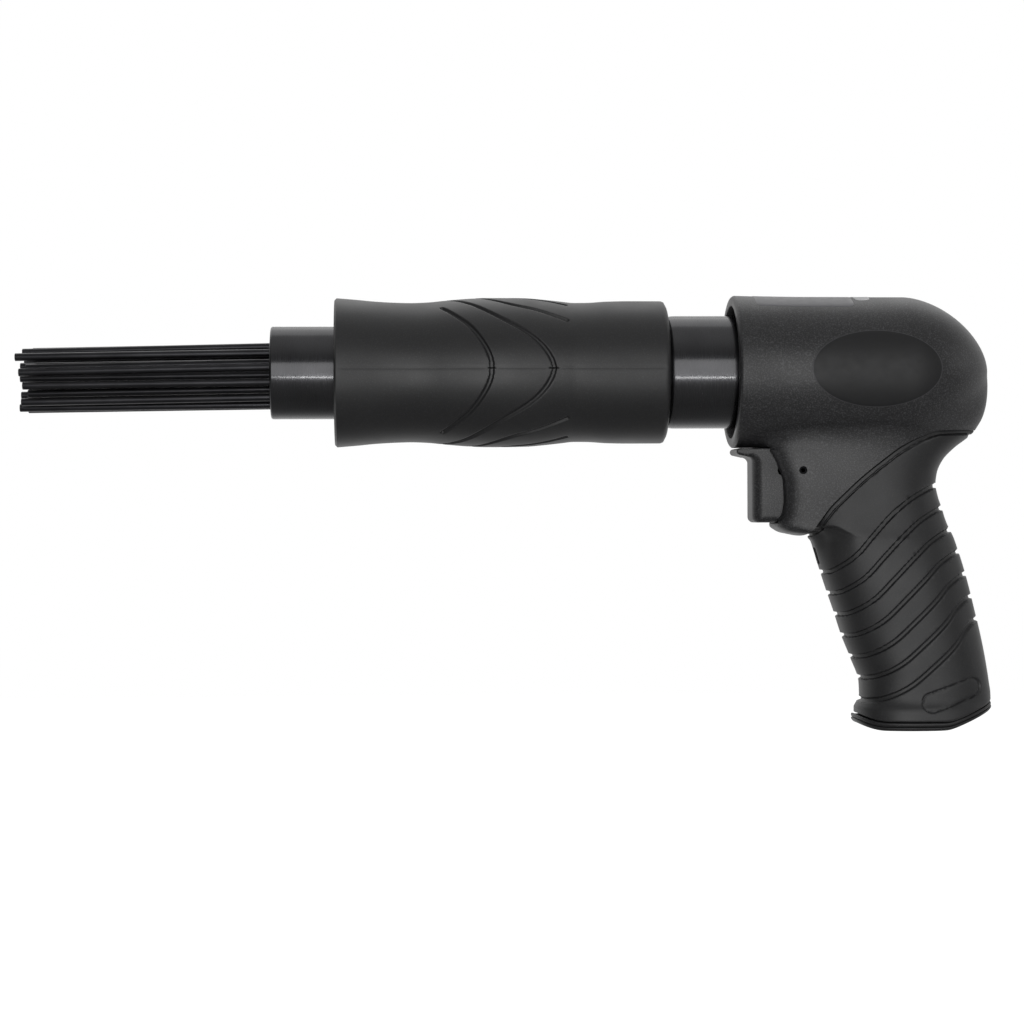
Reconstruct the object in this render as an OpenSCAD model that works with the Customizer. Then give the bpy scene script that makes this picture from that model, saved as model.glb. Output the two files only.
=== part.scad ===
// Pistol grip needle scaler: an air hammer drives a bundle of loose steel needles.
// Millimetres. The barrel runs along X with the needles toward -X, the handle points down, +Z is up.
// The origin is the centre of the air inlet's mouth, in the flat underside of the base.

/* [Barrel] */
// Height of the barrel's axis above the underside of the base
axis_height = 139; // [110:1:170]
// Height of the neck, from the top of the grip up to the barrel's axis
neck_height = 65; // [55:0.5:75]
// Distance from the spring seat forward to the front of the nozzle
nozzle_ahead = 37.7; // [20:0.1:70]
// Outside diameter of the bare nozzle
nozzle_d = 35.8; // [30:0.1:42]
// Length of the bare nozzle in front of the sleeve
nozzle_bare = 24.6; // [10:0.1:40]
// Outside diameter of the tube under the sleeve
tube_d = 34.6; // [29:0.1:41]
// Bore of the tube
tube_bore = 31.3; // [26:0.1:38]
// Length of the tube's back end inside the collar
tube_seat_length = 15; // [8:0.5:20]
// Rounding of the nozzle's front edge
nozzle_round = 0.9; // [0.2:0.1:1.5]
// Outside diameter of the barrel collar
collar_d = 43.8; // [38:0.1:50]
// Distance from the inlet's axis forward to the front of the collar
collar_reach = 94; // [80:0.5:110]
// Rounding of the collar's front shoulder
collar_round = 1.8; // [0.5:0.1:3]

/* [Front sleeve] */
// Largest diameter of the front sleeve
sleeve_d = 57.8; // [48:0.2:66]
// Gap between the sleeve's back and the collar
sleeve_gap = 1.9; // [0.5:0.1:4]
// Depth of the sleeve's waists
sleeve_waist_depth = 1.95; // [0.5:0.05:4]
// Rounding of the sleeve's ends
sleeve_round = 1.6; // [0.5:0.1:4]

/* [Needles] */
// Diameter of a needle
needle_d = 3; // [2:0.5:4]
// Length of a needle with its head
needle_length = 180; // [120:5:200]
// Diameter of a needle's head
needle_head_d = 4.4; // [3.5:0.1:6]
// Length of a needle's head
needle_head_length = 3; // [2:0.5:5]
// Chamfer round a needle's tip
needle_chamfer = 0.35; // [0.1:0.05:1]
// Radius of the outer ring of needles in the holder
ring_radius = 11.9; // [9:0.1:14]
// How far the outer ring closes in by the tips
tip_gather = 0.4; // [0:0.1:2]
// How far the bundle hangs below the barrel's axis at the tips
tip_droop = 2.8; // [0:0.1:4]
// Largest stray of a tip from its place in the bundle
tip_stray = 1; // [0:0.1:1.5]
// Largest setback of a tip behind the foremost one
tip_setback = 5.2; // [0:0.1:7]
// Free travel of each needle between the holder's plate and the anvil
needle_float = 10; // [4:0.5:14]
// Gap in front of the foremost needle's head
needle_head_gap = 3.2; // [0.5:0.1:4]

/* [Needle carrier] */
// Diameter of the needle holder
holder_d = 31.16; // [26:0.02:37]
// Thickness of the holder's drilled plate
holder_plate = 9; // [5:0.5:14]
// Inside diameter of the holder's cup
holder_bore = 29.1; // [24:0.1:35]
// How far the cup's wall runs on behind the snap ring
holder_skirt = 2.4; // [1:0.2:5]
// Play round each needle in the holder's plate
needle_play = 0.35; // [0.2:0.05:0.6]
// Distance from the inlet's axis forward to the anvil's striking face
anvil_reach = 157; // [120:1:200]
// Thickness of the anvil's flange
anvil_flange = 7; // [4:0.5:12]
// Diameter of the anvil's flange
anvil_d = 28.5; // [22:0.1:34]
// Diameter of the anvil's shank
shank_d = 16; // [10:0.5:20]
// Length of the anvil's shank
shank_length = 44; // [30:1:60]
// Width of the snap ring behind the anvil
snap_width = 1.6; // [1:0.1:3]
// Inside diameter of the snap ring
snap_bore = 25.2; // [20:0.1:30]
// Outside diameter of the snap ring
snap_d = 30; // [25:0.1:36]
// Forward travel of the carrier against its spring
carrier_travel = 8; // [3:0.5:12]
// Wire diameter of the return spring
return_wire = 1.2; // [0.8:0.1:1.6]
// Diameter of the return spring's coil, wire centre to wire centre
return_coil_d = 29.9; // [24:0.1:36]
// Length of the return spring at rest
return_length = 26; // [18:1:40]
// Number of turns of the return spring
return_turns = 7; // [4:1:10]
// Length of the spring seat
seat_length = 4; // [2:0.5:8]
// Bore of the spring seat
seat_bore = 29; // [24:0.1:35]
// Length of the anvil buffer
buffer_length = 10; // [5:0.5:16]
// Outside diameter of the anvil buffer
buffer_d = 24.2; // [18:0.1:30]
// Bore of the anvil buffer
buffer_bore = 16.8; // [11:0.1:22]

/* [Hammer] */
// Diameter of the cylinder inside the housing
cylinder_d = 35; // [30:0.1:42]
// Diameter of the cylinder's front spigot inside the tube
spigot_d = 31.2; // [26:0.1:37]
// Bore of the cylinder
cylinder_bore = 21; // [15:0.1:26]
// Length of the guide for the anvil's shank
nose_length = 28; // [15:1:40]
// Distance from the inlet's axis forward to the back end of the cylinder
cylinder_rear_reach = 9; // [4:0.5:20]
// Length of the piston
piston_length = 46; // [30:1:60]
// Travel of the piston
piston_travel = 49; // [25:1:60]
// Running clearance on the radius of the sliding parts
running = 0.05; // [0.02:0.01:0.1]
// Thickness of the valve seat
valve_seat_length = 6; // [3:0.5:10]
// Length of the valve cover
valve_cover_length = 12; // [8:0.5:18]
// Diameter of the valve parts
valve_d = 34.8; // [30:0.1:42]
// Diameter of the valve disc
disc_d = 18; // [12:0.5:22]
// Thickness of the valve disc
disc_thick = 2; // [1:0.1:3]
// Travel of the valve disc
disc_travel = 2; // [0.5:0.1:3]
// Diameter of the air ports
port_d = 6; // [3:0.5:8]
// Diameter of the locating dowel
dowel_d = 3; // [2:0.5:4]
// Length of the locating dowel
dowel_length = 20; // [12:1:26]
// Radius at which the dowel stands
dowel_radius = 14.2; // [12:0.1:16]
// Length of the rear buffer
rear_buffer_length = 6; // [3:0.5:10]
// Outside diameter of the rear buffer
rear_buffer_d = 30; // [22:0.5:34]
// Bore of the rear buffer
rear_buffer_bore = 15; // [8:0.5:20]
// Length of the threaded bush in the housing
bush_length = 23; // [12:1:30]
// Outside diameter of the threaded bush
bush_d = 45; // [40:0.5:48]
// Thickness of a seal ring
seal_thick = 1.8; // [1:0.1:3]

/* [Housing] */
// Diameter of the housing's round body
body_d = 58.4; // [50:0.1:66]
// Distance from the inlet's axis forward to the housing's mouth
mouth_reach = 68.3; // [55:0.1:80]
// Inside diameter of the mouth
mouth_bore = 51.6; // [46:0.1:56]
// Depth of the mouth
mouth_depth = 13.3; // [8:0.1:20]
// Rounding of the mouth's outer edge
mouth_round = 1.4; // [0.5:0.1:3]
// How far the body widens toward its mouth, on its radius
mouth_flare = 0.6; // [0.1:0.1:2]
// Length over which the body widens
flare_length = 36; // [20:1:45]
// Distance from the inlet's axis forward to where the domed back begins
dome_start = 1; // [0.5:0.1:20]
// Length of the domed back
dome_length = 33.7; // [25:0.1:50]
// Fullness of the dome's outline, where 2 is an ellipse
dome_fullness = 1.7; // [1.5:0.05:3]
// Horizontal depth of the handle, the measure for its outline
grip_depth = 54; // [45:0.5:62]
// Width of the handle
grip_width = 39; // [32:0.5:46]
// Thickness of the rubber grip
rubber_thick = 4.2; // [2.5:0.1:6]
// Width of the joint between housing and rubber
joint_gap = 0.7; // [0.3:0.1:1.5]
// Thickness of the base cap
cap_thick = 3.4; // [2:0.1:6]
// Depth to which the labels are let in
label_recess = 0.3; // [0.2:0.05:0.5]
// Height by which the labels stand proud
label_proud = 0.1; // [0.05:0.05:0.3]
// Length of the side label
side_label_length = 50.4; // [30:0.2:60]
// Height of the side label
side_label_height = 29.4; // [18:0.2:36]
// Distance from the inlet's axis forward to the middle of the side label
side_label_reach = 15.6; // [5:0.5:25]
// Length of the top label
top_label_length = 37.8; // [20:0.2:44]
// Width of the top label across the body
top_label_width = 29.4; // [16:0.2:40]
// Distance from the inlet's axis forward to the front of the top label
top_label_reach = 60; // [50:0.5:64]
// Length of the small label
small_label_length = 6; // [3:0.2:10]
// Width of the small label across the body
small_label_width = 18.5; // [10:0.5:30]
// Space between the two labels on top
label_space = 1.2; // [0.5:0.1:3]

/* [Trigger] */
// Distance from the inlet's axis forward to the trigger's front face
trigger_reach = 60.9; // [55:0.1:66]
// Distance from the barrel's axis down to the trigger's top
trigger_drop = 29.8; // [27:0.1:36]
// Height of the trigger
trigger_height = 28.8; // [20:0.1:32]
// Thickness of the lip at the trigger's top
lip_thick = 3.6; // [2:0.1:5]
// How far the lip stands out in front of the trigger's face
lip_reach = 6.4; // [3:0.1:10]
// Depth of the trigger's body from its face
trigger_depth = 15.3; // [12:0.1:20]
// Width of the trigger
trigger_width = 21; // [16:0.5:24]
// Rounding of the trigger's front edges
trigger_round = 5; // [2:0.5:8]
// Travel of the trigger
trigger_travel = 6; // [3:0.5:8]
// Length of the tongue at the trigger's back
tongue_length = 9.5; // [6:0.5:12]
// Height of the tongue
tongue_height = 8.4; // [6:0.2:10]
// Diameter of the retaining pin
pin_d = 3; // [2:0.5:4]
// Bore of the retaining pin
pin_bore = 1.6; // [1:0.2:2.5]
// Length of the retaining pin
pin_length = 32; // [26:0.5:38]
// Distance from the inlet's axis forward to the pin
pin_reach = 42.4; // [35:0.1:46]
// Distance from the barrel's axis down to the pin
pin_drop = 38.5; // [34:0.1:44]
// Clearance round the trigger
trigger_gap = 0.35; // [0.3:0.05:0.6]
// Distance from the barrel's axis down to the throttle's axis
throttle_drop = 50.5; // [44:0.5:56]
// Diameter of the throttle bush
throttle_bush_d = 12; // [9:0.5:14]
// Length of the throttle bush
throttle_bush_length = 16.8; // [10:0.2:22]
// Diameter of the throttle stem
stem_d = 4.8; // [3:0.2:7]
// Diameter of the stem's head
stem_head_d = 10.2; // [8:0.2:11.5]
// Length of the stem's head
stem_head_length = 3.4; // [2:0.2:6]
// Wire diameter of the throttle spring
throttle_wire = 0.9; // [0.6:0.1:1.2]
// Diameter of the throttle spring's coil, wire centre to wire centre
throttle_coil_d = 7.2; // [5:0.2:9]
// Length of the throttle spring at rest
throttle_length = 15; // [11:0.5:20]
// Number of turns of the throttle spring
throttle_turns = 6; // [3:1:8]

/* [Air inlet] */
// Bore of the inlet's thread
inlet_bore = 11.8; // [8:0.1:15]
// Depth of the inlet's thread
inlet_thread = 13; // [9:0.5:16]
// Diameter of the inlet bush
inlet_d = 19.2; // [15:0.2:22]
// Length of the inlet bush
inlet_length = 20; // [15:0.5:26]
// Diameter of the inlet bush's flange
inlet_flange_d = 23; // [19:0.5:26]
// Thickness of the inlet bush's flange
inlet_flange = 2.4; // [1.5:0.1:4]
// Diameter of the filter disc
filter_d = 10; // [7:0.5:12]
// Thickness of the filter disc
filter_thick = 1.2; // [0.6:0.1:2]
// Diameter of the holes in the filter disc
filter_hole = 1.4; // [0.8:0.1:2]
// Diameter of the air passages
passage_d = 5.6; // [4:0.2:8]

/* [Hidden] */
// Smoothness of the curves that stay exact
$fn = 64;
// Overrun of every cut
over = 1;
// Play of parts that only have to go together
loose = 0.2;
// Gap where one moving part rests on another
rest_gap = 0.05;

// Outline of the handle from base to barrel, as shares: up to 1 of the grip's height and from there
// to 2 of the neck's, then front and back of the handle's depth, then half width, and last the
// squareness of the front
handle_shares = [
    [0, -0.374, 0.63, 1.02, 2.5],
    [0.057, -0.388, 0.63, 1.05, 2.5],
    [0.109, -0.368, 0.62, 1.03, 2.5],
    [0.141, -0.345, 0.614, 0.98, 2.5],
    [0.177, -0.328, 0.613, 0.96, 2.5],
    [0.24, -0.331, 0.602, 0.96, 2.5],
    [0.366, -0.39, 0.575, 0.975, 2.5],
    [0.492, -0.459, 0.541, 0.99, 2.5],
    [0.62, -0.515, 0.499, 1, 2.5],
    [0.747, -0.575, 0.457, 1, 2.5],
    [0.873, -0.63, 0.409, 0.98, 2.6],
    [0.947, -0.661, 0.376, 0.96, 2.7],
    [1, -0.69, 0.352, 0.94, 2.8],
    [1.031, -0.87, 0.335, 0.92, 4],
    [1.072, -0.96, 0.31, 0.9, 5],
    [1.125, -0.914, 0.285, 0.89, 6],
    [1.178, -0.889, 0.266, 0.885, 6],
    [1.252, -0.881, 0.236, 0.88, 6],
    [1.325, -0.892, 0.22, 0.875, 6],
    [1.395, -0.908, 0.231, 0.87, 6],
    [1.468, -0.934, 0.272, 0.87, 6],
    [1.54, -0.972, 0.355, 0.87, 6],
    [1.612, -1, 0.47, 0.87, 6],
    [1.648, -1.01, 0.513, 0.87, 6],
    [1.708, -1.018, 0.552, 0.87, 6],
    [1.766, -1.018, 0.58, 0.86, 6],
    [1.826, -1.018, 0.604, 0.84, 6],
    [1.918, -1.018, 0.61, 0.8, 6],
    [2, -1.018, 0.602, 0.74, 6],
];
// Points round each turn of a coil spring
coil_points = 16;
// Points round each section of the handle
handle_points = 28;
// Squareness of the handle's back
back_squareness = 2.3;
// Joint between housing and rubber from back to front, as shares of the handle's depth and, as above,
// of the neck's height
joint_shares = [
    [0.8, 1.649],
    [0.502, 1.647],
    [0.216, 1.641],
    [0.077, 1.609],
    [-0.082, 1.546],
    [-0.213, 1.469],
    [-0.363, 1.371],
    [-0.497, 1.269],
    [-0.595, 1.188],
    [-0.678, 1.097],
    [-0.73, 1.042],
    [-0.795, 1.018],
    [-1.3, 1.018],
];
// Underside of the base from front to back, as shares of the handle's depth
base_shares = [[-1, 0], [0.24, 0], [1, 0.338]];
// Outline of the sleeve from front to back, as shares of its length and of the waists' depth
sleeve_shares = [
    [0, 0.1], [0.06, 0.35], [0.12, 0.7], [0.18, 0.92], [0.23, 1], [0.28, 0.88], [0.34, 0.5],
    [0.4, 0.18], [0.46, 0], [0.52, 0], [0.58, 0.16], [0.64, 0.55], [0.69, 0.9], [0.73, 1.02],
    [0.77, 0.98], [0.83, 0.82], [0.9, 0.74], [1, 0.72],
];
// Places along the widened part of the body, as shares of its length from its back
flare_shares = [0.9, 0.75, 0.55, 0.3, 0];
// Setback of each tip, as a share of the largest one
setback_shares = [
    0.35, 0.1, 0.62, 0.3, 0.8, 0.15, 0.55, 0.45, 0.2, 0.7, 0.05, 0.5, 0.88, 0.25, 1, 0.4, 0, 0.32, 0.6,
];
// Stray of each tip sideways and up, as shares of the largest one
stray_shares = [
    [0.3, 0.2], [-0.4, 0.5], [0.5, -0.3], [0.1, 0.6], [-0.5, -0.2], [0.2, -0.6], [0.6, 0.1],
    [-0.3, -0.5], [0.2, 0.5], [-0.6, 0.2], [0.4, -0.3], [-0.2, 0.4], [0.3, 0.3], [-0.4, -0.3],
    [0.5, 0.2], [-0.1, -0.5], [-0.5, 0.4], [0.2, -0.4], [0.4, 0.5],
];
// Outline of the trigger's lip, as shares of its reach and of its thickness
lip_shares = [[0, 0], [0.45, 0.02], [0.8, 0.1], [0.98, 0.4], [1, 0.72], [0.9, 0.95], [0.7, 1]];

// Number of needles
needle_count = 19;
// Front of the cup in the holder
cup_x = -anvil_reach - needle_float - needle_head_length;
// Front of the holder
holder_x = cup_x - holder_plate;
// Back of the anvil's flange
flange_x = -anvil_reach + anvil_flange;
// Foremost tip
tip_x = cup_x + needle_head_gap + needle_head_length - needle_length;
// Middle of the holder's plate, where a needle stands in its place
plate_x = holder_x + holder_plate / 2;
// Back end of the tube
tube_x = tube_seat_length - collar_reach;
// Front of the nozzle
nozzle_x = holder_x - return_length - seat_length - nozzle_ahead;
// Front of the sleeve
sleeve_x = nozzle_x + nozzle_bare;
// Length of the sleeve
sleeve_length = -collar_reach - sleeve_gap - sleeve_x;
// Top of the trigger
trigger_top = axis_height - trigger_drop;
// Underside of the trigger
trigger_bottom = trigger_top - trigger_height;
// Height of the pin
pin_z = axis_height - pin_drop;
// Height of the throttle's axis
throttle_z = axis_height - throttle_drop;
// Nose of the cylinder
nose_x = flange_x + rest_gap + buffer_length;
// Floor of the housing's mouth
floor_x = -mouth_reach + mouth_depth;
// Front of the valve seat
seat_x = -cylinder_rear_reach;
// Front of the valve cover
cover_x = seat_x + valve_seat_length;
// Front of the rear buffer
rear_x = cover_x + valve_cover_length;
// End of the housing's bore
bore_end_x = rear_x + rear_buffer_length;
// Back of the trigger's body
trigger_back_x = -trigger_reach + trigger_depth;
// Floor of the trigger's pocket
pocket_x = trigger_back_x + trigger_travel + 2 * trigger_gap;
// Back of the throttle bush
throttle_x = pocket_x + throttle_bush_length;
// Front of the throttle stem's head
head_x = throttle_x + rest_gap + seal_thick;
// Front of the throttle spring
throttle_spring_x = head_x + stem_head_length;
// End of the throttle's chamber
chamber_x = throttle_spring_x + throttle_length;
// Radius at which the exhaust channels run
exhaust_radius = (bush_d + mouth_bore) / 4;
// Diameter of an exhaust channel
exhaust_d = 0.3 * (mouth_bore - bush_d);
// Front of the exhaust ring in the housing
exhaust_x = floor_x + bush_length + exhaust_d;

// Name of a needle's node
function needle_name(i) = str("needle_", i < 9 ? "0" : "", i + 1);

// Place of a needle in the holder: one in the middle, six round it, the others on the outer ring
function hold_point(i) =
    i == 0 ? [0, 0]
    : i < 7 ? ring_radius / 2 * [cos(60 * i), sin(60 * i)]
    : ring_radius * [cos(30 * i + 15), sin(30 * i + 15)];

// Place of a needle's tip in the bundle
function tip_point(i) =
    hold_point(i) * (1 - tip_gather / ring_radius) + [0, -tip_droop] + tip_stray * stray_shares[i];

// A needle's tip
function tip_of(i) =
    [tip_x + tip_setback * setback_shares[i], tip_point(i)[0], axis_height + tip_point(i)[1]];

// A needle's direction from its tip to its head
function way_of(i) =
    let (v = [plate_x, hold_point(i)[0], axis_height + hold_point(i)[1]] - tip_of(i))
    v / norm(v);

// Points on a quarter of a rounding, from its start along the axis to its end on the outside
function round_points(x, r, long, deep, steps = 4) =
    [for (k = [0 : steps])
        let (a = 90 * k / steps)
        [r - deep * (1 - sin(a)), x + long * (1 - cos(a))]];

// Radius of the housing's body at a share of the dome's length
function dome_radius(s, grow) = (body_d / 2 + grow) * pow(1 - pow(s, dome_fullness), 1 / dome_fullness);

// Height on the handle: up to 1 a share of the grip, from there to 2 a share of the neck
function handle_z(s) = min(s, 1) * (axis_height - neck_height) + max(s - 1, 0) * neck_height;

// One point round a section of the handle
function handle_point(row, a, inset) =
    let (
        front = row[1] * grip_depth + inset,
        back = row[2] * grip_depth - inset,
        half = row[3] * grip_width / 2 - inset,
        power = 2 / (cos(a) < 0 ? row[4] : back_squareness)
    )
    [
        (front + back) / 2 + (back - front) / 2 * sign(cos(a)) * pow(abs(cos(a)), power),
        half * sign(sin(a)) * pow(abs(sin(a)), power),
        handle_z(row[0]),
    ];

// Stands a part that is drawn along Z on the barrel's axis
module on_barrel(x) {
    translate([x, 0, axis_height]) rotate([0, 90, 0]) children();
}

// A part turned about the barrel's axis, from points of radius and place along X
module turned(points) {
    on_barrel(0) rotate_extrude() polygon(points);
}

// A plain ring on the barrel's axis
module ring(x, long, d, bore) {
    turned([[bore / 2, x], [d / 2, x], [d / 2, x + long], [bore / 2, x + long]]);
}

// Cylinder on the barrel's axis
module rod(x, long, d) {
    on_barrel(x) cylinder(d = d, h = long);
}

// Cylinder along X at a height above the base
module rod_at(x, z, long, d) {
    translate([x, 0, z]) rotate([0, 90, 0]) cylinder(d = d, h = long);
}

// Seal ring of round section about Z
module seal(d) {
    rotate_extrude() translate([d / 2, 0]) circle(d = seal_thick);
}

// Drilled passage between two points
module passage(from, to, d) {
    way = to - from;
    translate(from)
        rotate([0, acos(way[2] / norm(way)), atan2(way[1], way[0])])
            cylinder(d = d, h = norm(way));
}

// Coil spring along Z that stands on the XY plane
module coil(long, coil_d, wire, turns) {
    sides = 6;
    steps = coil_points * turns;
    points = [
        for (j = [0 : steps])
            let (a = 360 * j / coil_points, z = wire / 2 + (long - wire) * j / steps)
            for (k = [0 : sides - 1])
                let (r = coil_d / 2 + wire / 2 * cos(360 * k / sides))
                [r * cos(a), r * sin(a), z + wire / 2 * sin(360 * k / sides)]
    ];
    walls = [
        for (j = [0 : steps - 1])
            for (k = [0 : sides - 1])
                let (a = j * sides + k, b = j * sides + (k + 1) % sides)
                for (f = [[a, a + sides, b], [b, a + sides, b + sides]])
                    f
    ];
    first = [for (k = [0 : sides - 1]) k];
    last = [for (k = [sides - 1 : -1 : 0]) steps * sides + k];
    polyhedron(points, concat(walls, [first, last]));
}

// The handle's whole form, drawn in by an inset
module handle_form(inset) {
    n = handle_points;
    rows = len(handle_shares);
    points = [for (row = handle_shares) for (k = [0 : n - 1]) handle_point(row, 360 * k / n, inset)];
    walls = [
        for (j = [0 : rows - 2])
            for (k = [0 : n - 1])
                let (a = j * n + k, b = j * n + (k + 1) % n)
                for (f = [[a, a + n, b], [b, a + n, b + n]])
                    f
    ];
    first = [for (k = [0 : n - 1]) k];
    last = [for (k = [n - 1 : -1 : 0]) (rows - 1) * n + k];
    polyhedron(points, concat(walls, [first, last]));
}

// Slab across the handle from an outline in X and Z
module slab(points) {
    rotate([90, 0, 0]) linear_extrude(height = 2 * body_d, center = true) polygon(points);
}

// Points of the joint between housing and rubber, moved down by a drop
function joint_points(drop) = [for (s = joint_shares) [s[0] * grip_depth, handle_z(s[1]) - drop]];

// Everything below the joint
module below_joint(drop) {
    slab(concat(joint_points(drop), [[-2 * grip_depth, -grip_depth], [2 * grip_depth, -grip_depth]]));
}

// Everything above the base, lifted by a thickness
module above_base(lift) {
    slab(concat(
        [for (s = base_shares) [s[0] * grip_depth, s[1] * grip_depth + lift]],
        [[grip_depth, 2 * axis_height], [-grip_depth, 2 * axis_height]]
    ));
}

// The housing's round body with its domed back, grown by an amount
module body_form(grow) {
    turned(concat(
        [[0, -mouth_reach]],
        round_points(-mouth_reach, body_d / 2 + mouth_flare + grow, mouth_round, mouth_round),
        [for (s = flare_shares)
            [body_d / 2 + mouth_flare * s * s + grow, -mouth_reach + flare_length * (1 - s)]],
        [for (s = [0, 0.2, 0.34, 0.46, 0.58, 0.68, 0.77, 0.85, 0.91, 0.96, 0.99])
            [dome_radius(s, grow), -dome_start + s * (dome_length + grow)]],
        [[0, -dome_start + dome_length + grow]]
    ));
}

// Skin of the body in which the labels lie
module label_skin(proud, recess) {
    difference() {
        body_form(proud);
        body_form(-recess);
    }
}

// Prism of the side label, on the side toward -Y
module side_label_prism(grow) {
    long = side_label_length / 2 + grow;
    high = side_label_height / 2 + grow;
    translate([-side_label_reach, 0, axis_height])
        rotate([90, 0, 0])
            linear_extrude(height = body_d)
                polygon([for (a = [0 : 9 : 351]) [long * cos(a), high * sin(a)]]);
}

// Block that cuts a label out of the top of the skin
module top_prism(x, long, wide, grow) {
    translate([x - grow, -wide / 2 - grow, axis_height])
        cube([long + 2 * grow, wide + 2 * grow, body_d]);
}

// Place of the small label
module small_prism(grow) {
    front = -top_label_reach + top_label_length + label_space;
    top_prism(front, small_label_length, small_label_width, grow);
}

module nozzle_tube() {
    color([0.12, 0.12, 0.13])
        turned(concat(
            [[tube_bore / 2, nozzle_x]],
            round_points(nozzle_x, nozzle_d / 2, nozzle_round, nozzle_round),
            [
                [nozzle_d / 2, nozzle_x + nozzle_bare],
                [tube_d / 2, nozzle_x + nozzle_bare],
                [tube_d / 2, tube_x],
                [tube_bore / 2, tube_x],
            ]
        ));
}

module front_sleeve() {
    front = sleeve_x;
    back = front + sleeve_length;
    end_r = sleeve_d / 2 - sleeve_waist_depth * sleeve_shares[len(sleeve_shares) - 1][1];
    color([0.1, 0.1, 0.1])
        turned(concat(
            [[tube_d / 2, front], [sleeve_d / 2 - sleeve_round, front]],
            [for (s = sleeve_shares)
                [sleeve_d / 2 - sleeve_waist_depth * s[1],
                 front + sleeve_round / 2 + s[0] * (sleeve_length - 2 * sleeve_round)]],
            [for (a = [90 : -22.5 : 0])
                [end_r - sleeve_round * (1 - sin(a)), back - sleeve_round * (1 - cos(a))]],
            [[tube_d / 2, back]]
        ));
}

module barrel_collar() {
    color([0.12, 0.12, 0.13])
        turned(concat(
            [[tube_d / 2, -collar_reach]],
            round_points(-collar_reach, collar_d / 2, collar_round, collar_round),
            [
                [collar_d / 2, floor_x],
                [cylinder_d / 2, floor_x],
                [cylinder_d / 2, tube_x],
                [tube_d / 2, tube_x],
            ]
        ));
}

module needle(i) {
    way = way_of(i);
    shaft = needle_length - needle_head_length;
    color([0.2, 0.2, 0.21])
        translate(tip_of(i))
            rotate([0, acos(way[2]), atan2(way[1], way[0])])
                rotate_extrude()
                    polygon([
                        [0, 0],
                        [needle_d / 2 - needle_chamfer, 0],
                        [needle_d / 2, needle_chamfer],
                        [needle_d / 2, shaft],
                        [needle_head_d / 2, shaft],
                        [needle_head_d / 2, needle_length],
                        [0, needle_length],
                    ]);
}

module needle_holder() {
    cup_end = flange_x + snap_width + holder_skirt;
    color([0.5, 0.5, 0.52])
        difference() {
            rod(holder_x, cup_end - holder_x, holder_d);
            rod(cup_x, cup_end - cup_x + over, holder_bore);
            rod(flange_x, snap_width, snap_d);
            for (i = [0 : needle_count - 1])
                translate([holder_x - over, hold_point(i)[0], axis_height + hold_point(i)[1]])
                    rotate([0, 90, 0])
                        cylinder(d = needle_d + 2 * needle_play, h = holder_plate + 2 * over);
        }
}

module anvil() {
    color([0.55, 0.55, 0.57])
        turned([
            [0, -anvil_reach],
            [anvil_d / 2, -anvil_reach],
            [anvil_d / 2, flange_x],
            [shank_d / 2, flange_x],
            [shank_d / 2, flange_x + shank_length],
            [0, flange_x + shank_length],
        ]);
}

module holder_ring() {
    color([0.35, 0.35, 0.36]) ring(flange_x, snap_width, snap_d, snap_bore);
}

module return_spring() {
    color([0.6, 0.6, 0.62])
        on_barrel(holder_x - return_length)
            coil(return_length, return_coil_d, return_wire, return_turns);
}

module spring_seat() {
    color([0.55, 0.55, 0.57])
        ring(holder_x - return_length - seat_length, seat_length, tube_bore, seat_bore);
}

module anvil_buffer() {
    color([0.1, 0.1, 0.1]) ring(flange_x + rest_gap, buffer_length, buffer_d, buffer_bore);
}

module cylinder_ports() {
    for (a = [0 : 60 : 300])
        on_barrel(exhaust_x)
            rotate([0, 0, a])
                rotate([0, 90, 0])
                    cylinder(d = exhaust_d, h = body_d / 2 - exhaust_d);
}

module hammer_cylinder() {
    color([0.5, 0.5, 0.53])
        difference() {
            turned([
                [shank_d / 2 + running, nose_x],
                [spigot_d / 2, nose_x],
                [spigot_d / 2, tube_x],
                [cylinder_d / 2, tube_x],
                [cylinder_d / 2, -cylinder_rear_reach],
                [cylinder_bore / 2, -cylinder_rear_reach],
                [cylinder_bore / 2, nose_x + nose_length],
                [shank_d / 2 + running, nose_x + nose_length],
            ]);
            cylinder_ports();
            dowel_shape(0);
            on_barrel(-2 * cylinder_rear_reach) seal(cylinder_d);
        }
}

module piston() {
    color([0.62, 0.62, 0.64])
        turned([
            [0, -cylinder_rear_reach - rest_gap - piston_length],
            [cylinder_bore / 2 - running - loose, -cylinder_rear_reach - rest_gap - piston_length],
            [cylinder_bore / 2 - running, loose - cylinder_rear_reach - rest_gap - piston_length],
            [cylinder_bore / 2 - running, -cylinder_rear_reach - rest_gap - loose],
            [cylinder_bore / 2 - running - loose, -cylinder_rear_reach - rest_gap],
            [0, -cylinder_rear_reach - rest_gap],
        ]);
}

module valve_seat() {
    color([0.72, 0.58, 0.3])
        difference() {
            ring(seat_x, valve_seat_length, valve_d, port_d);
            for (a = [45 : 90 : 315])
                on_barrel(seat_x - over)
                    rotate([0, 0, a])
                        translate([(disc_d + port_d) / 2, 0])
                            cylinder(d = port_d / 2, h = valve_seat_length + 2 * over);
            dowel_shape(0);
        }
}

module valve_disc() {
    color([0.6, 0.6, 0.62]) rod(cover_x + rest_gap, disc_thick, disc_d);
}

module valve_cover() {
    chamber = disc_thick + disc_travel + 2 * rest_gap;
    color([0.66, 0.66, 0.68])
        difference() {
            ring(cover_x, valve_cover_length, valve_d, port_d);
            rod(cover_x - over, chamber + over, disc_d + 4 * loose);
            dowel_shape(0);
        }
}

module dowel_shape(grow) {
    on_barrel(seat_x - dowel_length / 3)
        translate([0, dowel_radius])
            cylinder(d = dowel_d + 2 * grow, h = dowel_length);
}

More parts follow.
